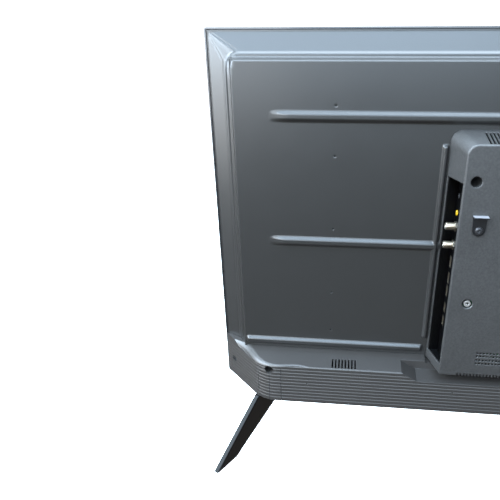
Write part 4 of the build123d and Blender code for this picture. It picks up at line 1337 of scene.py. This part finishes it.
@dataclass
class BracketScrew:
    """The screw that holds the cable bracket: a domed head with a cross recess."""

    head_radius: float = 4.8
    head_height: float = 3.0
    shank_radius: float = 2.0
    recess_radius: float = 2.5
    recess_width: float = 0.55
    recess_depth: float = 1.7
    recess_taper: float = 1.6
    rim_share: float = 0.35
    dome_power: int = 4
    rings: int = 22
    segments: int = 96

    def build(self) -> None:
        """Make the screw in place of its node."""
        low, high = (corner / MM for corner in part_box("bracket_screw"))
        middle = (low + high) / 2
        seat = high.y - self.head_height
        built = bmesh.new()
        rows = []
        for number in range(self.rings + 1):
            radius = self.head_radius * number / self.rings
            rows.append(self.ring(built, middle, radius, seat + self.dome(radius), self.recess))
        rows.append(self.ring(built, middle, self.head_radius, seat))
        rows.append(self.ring(built, middle, self.shank_radius, seat))
        rows.append(self.ring(built, middle, self.shank_radius, low.y))
        for a, b in zip(rows[:-1], rows[1:]):
            for i in range(self.segments):
                j = (i + 1) % self.segments
                built.faces.new((a[i], a[j], b[j], b[i]))
        built.faces.new(rows[-1])
        bmesh.ops.remove_doubles(built, verts=rows[0], dist=WELD * MM)
        mesh = mesh_of("bracket_screw_head", built)
        piece = show("bracket_screw_head", mesh, Finishes.BLACKENED, crease=METAL_CREASE)
        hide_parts("bracket_screw")

    def ring(
        self,
        built: bmesh.types.BMesh,
        middle: Vector,
        radius: float,
        y: float,
        cut: Optional[Callable[[float, float], float]] = None,
    ) -> list[bmesh.types.BMVert]:
        """Add one ring of points around the screw's axis.

        Args:
            built: The mesh to add to.
            middle: A point of the axis.
            radius: The ring's radius.
            y: How far back it lies.
            cut: Depth to take off at a point across the axis.

        Returns:
            The points, in order.
        """
        made = []
        for i in range(self.segments):
            turn = 2 * math.pi * i / self.segments
            x, z = radius * math.cos(turn), radius * math.sin(turn)
            depth = cut(x, z) if cut else 0.0
            spot = Vector((middle.x + x, y - depth, middle.z + z))
            made.append(built.verts.new(spot * MM))
        return made

    def dome(self, radius: float) -> float:
        """Height of the head at a radius, with a rounded rim.

        Args:
            radius: Distance from the axis.

        Returns:
            The height over the seat.
        """
        share = radius / self.head_radius
        swell = math.sqrt(max(0.0, 1 - share**self.dome_power))
        return self.head_height * (self.rim_share + (1 - self.rim_share) * swell)

    def recess(self, x: float, z: float) -> float:
        """Depth of the cross at a point of the head.

        Args:
            x: X from the axis.
            z: Z from the axis.

        Returns:
            The depth.
        """
        arm = min(abs(x), abs(z))
        reach = max(abs(x), abs(z))
        if arm > self.recess_width or reach > self.recess_radius:
            return 0.0
        return self.recess_depth * (1 - reach / (self.recess_taper * self.recess_radius))


SKY: Colour = (0.80, 0.98, 1.16)
DEEP_SKY: Colour = (0.74, 0.98, 1.24)
PAPER: Colour = (1.0, 1.0, 1.0)
BLACK_GLOSS = ("leg_gloss", "tray_black")
BAYS = ("tray_black",)


@dataclass(frozen=True)
class SoftBox:
    """One soft box of the studio.

    Attributes:
        name: Its name.
        place: Where it hangs, in metres.
        aim: The point it faces, in metres.
        size: Its width and height in metres.
        glow: Its brightness, as radiance.
        colour: Its tint.
        shades: Material slots of the nodes that a flag keeps its light off.
    """

    name: str
    place: Point
    aim: Point
    size: Pair
    glow: float
    colour: Colour
    shades: tuple[str, ...] = ()

    def build(self) -> None:
        """Hang it, out of the camera's sight, with its flags."""
        data = bpy.data.lights.new(self.name, "AREA")
        data.shape = "RECTANGLE"
        data.size, data.size_y = self.size
        data.energy = self.glow * math.pi * self.size[0] * self.size[1]
        data.color = self.colour
        made = bpy.data.objects.new(self.name, data)
        bpy.context.scene.collection.objects.link(made)
        made.location = self.place
        facing = Vector(self.aim) - Vector(self.place)
        made.rotation_euler = facing.to_track_quat("-Z", "Y").to_euler()
        made.visible_camera = False
        shaded = [p for p in frame["record"]["subparts"] if p["material_slot"] in self.shades]
        if not shaded:
            return
        group = bpy.data.collections.new(f"{self.name}_receivers")
        for part in shaded:
            group.objects.link(frame["nodes"][part["node"]])
        for member in group.collection_objects:
            member.light_linking.link_state = "EXCLUDE"
        made.light_linking.receiver_collection = group


@dataclass
class Studio:
    """Backdrop, lights and the camera at the photograph's angle.

    Attributes:
        focal: Focal length in pixels of the photograph.
        middle_x: Column of the photograph that the camera looks along.
        frame_width: Width of the photograph in pixels.
        yaw: Turn of the camera about the upright, in degrees.
        pitch: Its tilt down, in degrees.
        roll: Its roll, in degrees.
        place: Where it stands, in millimetres.
        sensor: Width of its sensor in millimetres.
        near_clip: Nearest distance that it sees, in metres.
        room_glow: Strength of the room's light.
        ground: Tint of that light from below.
        horizon: Tint from the sides.
        ceiling: Tint from above.
        ceiling_start: Where the ceiling's tint starts, from 0, straight down, to 1, straight up.
        backdrop_radius: Radius of the flat floor in metres.
        backdrop_bend: Radius of its bend up in metres.
        bend_steps: Rings of the bend.
        backdrop_height: Height of the wall in metres.
        backdrop_segments: Faces around.
        boxes: The soft boxes.
    """

    focal: float = 480.0
    middle_x: float = 303.0
    frame_width: float = 500.0
    yaw: float = 5.69
    pitch: float = 23.1
    roll: float = -0.07
    place: Point = (254.4, 592.9, 551.5)
    sensor: float = 36.0
    near_clip: float = 0.01
    room_glow: float = 0.22
    ground: Colour = (1.25, 1.14, 1.04)
    horizon: Colour = (0.62, 0.60, 0.58)
    ceiling: Colour = (0.86, 0.94, 1.0)
    ceiling_start: float = 0.88
    backdrop_radius: float = 5.0
    backdrop_bend: float = 1.6
    bend_steps: int = 12
    backdrop_height: float = 6.0
    backdrop_segments: int = 96
    boxes: tuple[SoftBox, ...] = (
        SoftBox("ceiling_box", (0.25, 1.15, 2.6), (0.2, 0.0, 0.5), (2.4, 1.5), 10.0, DEEP_SKY),
        SoftBox("zenith_box", (0.25, -0.35, 2.3), (0.2, -0.8, 0.0), (3.2, 1.3), 14.5, SKY),
        SoftBox("corner_box", (1.95, 1.5, 2.05), (0.43, 0.0, 0.57), (0.8, 0.8), 30.0, SKY, BLACK_GLOSS),
        SoftBox("window_box", (1.15, 1.35, 0.95), (0.35, 0.0, 0.4), (1.5, 1.5), 3.6, PAPER, BAYS),
        SoftBox("far_window_box", (0.6, 3.4, 1.45), (0.2, 0.0, 0.5), (4.4, 2.0), 6.8, SKY, BAYS),
        SoftBox("side_box", (1.6, 0.50, 1.10), (0.45, 0.0, 0.5), (1.1, 1.2), 14.5, SKY, BLACK_GLOSS),
        SoftBox("side_fill_box", (1.9, 0.45, 1.15), (0.45, 0.0, 0.5), (1.3, 1.5), 5.0, SKY, BAYS),
        SoftBox("low_side_box", (2.2, 0.9, 0.40), (0.45, 0.0, 0.2), (1.4, 0.8), 7.0, PAPER, BLACK_GLOSS),
    )

    def camera(self) -> None:
        """Put the camera where the photograph was taken from."""
        data = bpy.data.cameras.new("camera")
        made = bpy.data.objects.new("camera", data)
        bpy.context.scene.collection.objects.link(made)
        yaw, pitch, roll = (math.radians(a) for a in (self.yaw, self.pitch, self.roll))
        ahead = Vector(
            (math.sin(yaw) * math.cos(pitch), -math.cos(yaw) * math.cos(pitch), -math.sin(pitch))
        )
        level = ahead.cross(Vector((0, 0, 1))).normalized()
        upward = level.cross(ahead)
        right = level * math.cos(roll) + upward * math.sin(roll)
        up = upward * math.cos(roll) - level * math.sin(roll)
        turn = Matrix((right, up, -ahead)).transposed().to_4x4()
        made.matrix_world = Matrix.Translation(Vector(self.place) * MM) @ turn
        data.sensor_fit = "HORIZONTAL"
        data.sensor_width = self.sensor
        data.lens = self.focal / self.frame_width * self.sensor
        data.shift_x = -(self.middle_x - self.frame_width / 2) / self.frame_width
        data.clip_start = self.near_clip
        bpy.context.scene.camera = made

    def backdrop(self) -> None:
        """Lay a round white floor that bends up into a wall, out of reflections and shadows."""
        turns = [math.pi / 2 * i / self.bend_steps for i in range(self.bend_steps + 1)]
        bend = self.backdrop_bend
        points = [(0.0, 0.0)]
        points += [
            (self.backdrop_radius + bend * math.sin(t), bend * (1 - math.cos(t))) for t in turns
        ]
        points.append((self.backdrop_radius + bend, self.backdrop_height))
        stations = [(height / MM, radius / MM) for radius, height in points]
        built = bmesh.new()
        turned(built, stations, (0.0, 0.0, 0.0), Vector((0, 0, 1)), self.backdrop_segments)
        mesh = mesh_of("backdrop", built)
        mesh.shade_smooth()
        made = bpy.data.objects.new("backdrop", mesh)
        bpy.context.scene.collection.objects.link(made)
        mesh.materials.append(Finishes.BACKDROP.material())
        made.visible_glossy = made.visible_diffuse = made.visible_shadow = False

    def surroundings(self) -> None:
        """Fill the room with light: warm from below, dim from the sides, cool from above."""
        world = bpy.data.worlds.new("surroundings")
        bpy.context.scene.world = world
        graph = Graph(world)
        ray = graph.node("ShaderNodeTexCoord", output="Generated")
        height = graph.node("ShaderNodeSeparateXYZ", None, {"Vector": ray}, "Z")
        stops = [(0.0, self.ground), (0.5, self.horizon), (self.ceiling_start, self.ceiling)]
        share = 0.5 + 0.5 * height
        shade = graph.node("ShaderNodeValToRGB", {"stops": stops}, {"Fac": share})
        sockets = {"Color": shade, "Strength": self.room_glow}
        light = graph.node("ShaderNodeBackground", None, sockets)
        graph.node("ShaderNodeOutputWorld", None, {"Surface": light})

    def build(self) -> None:
        """Set everything up."""
        bpy.context.scene.view_settings.view_transform = "Standard"
        self.camera()
        self.backdrop()
        self.surroundings()
        for box in self.boxes:
            box.build()


def main() -> None:
    """Build the dressed set and its studio."""
    logging.basicConfig(level=logging.INFO, format="%(name)s: %(message)s")
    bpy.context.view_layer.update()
    dress_nodes()
    PressedBack().build()
    AerialSockets().build()
    BracketScrew().build()
    Studio().build()


if __name__ == "__main__":
    main()
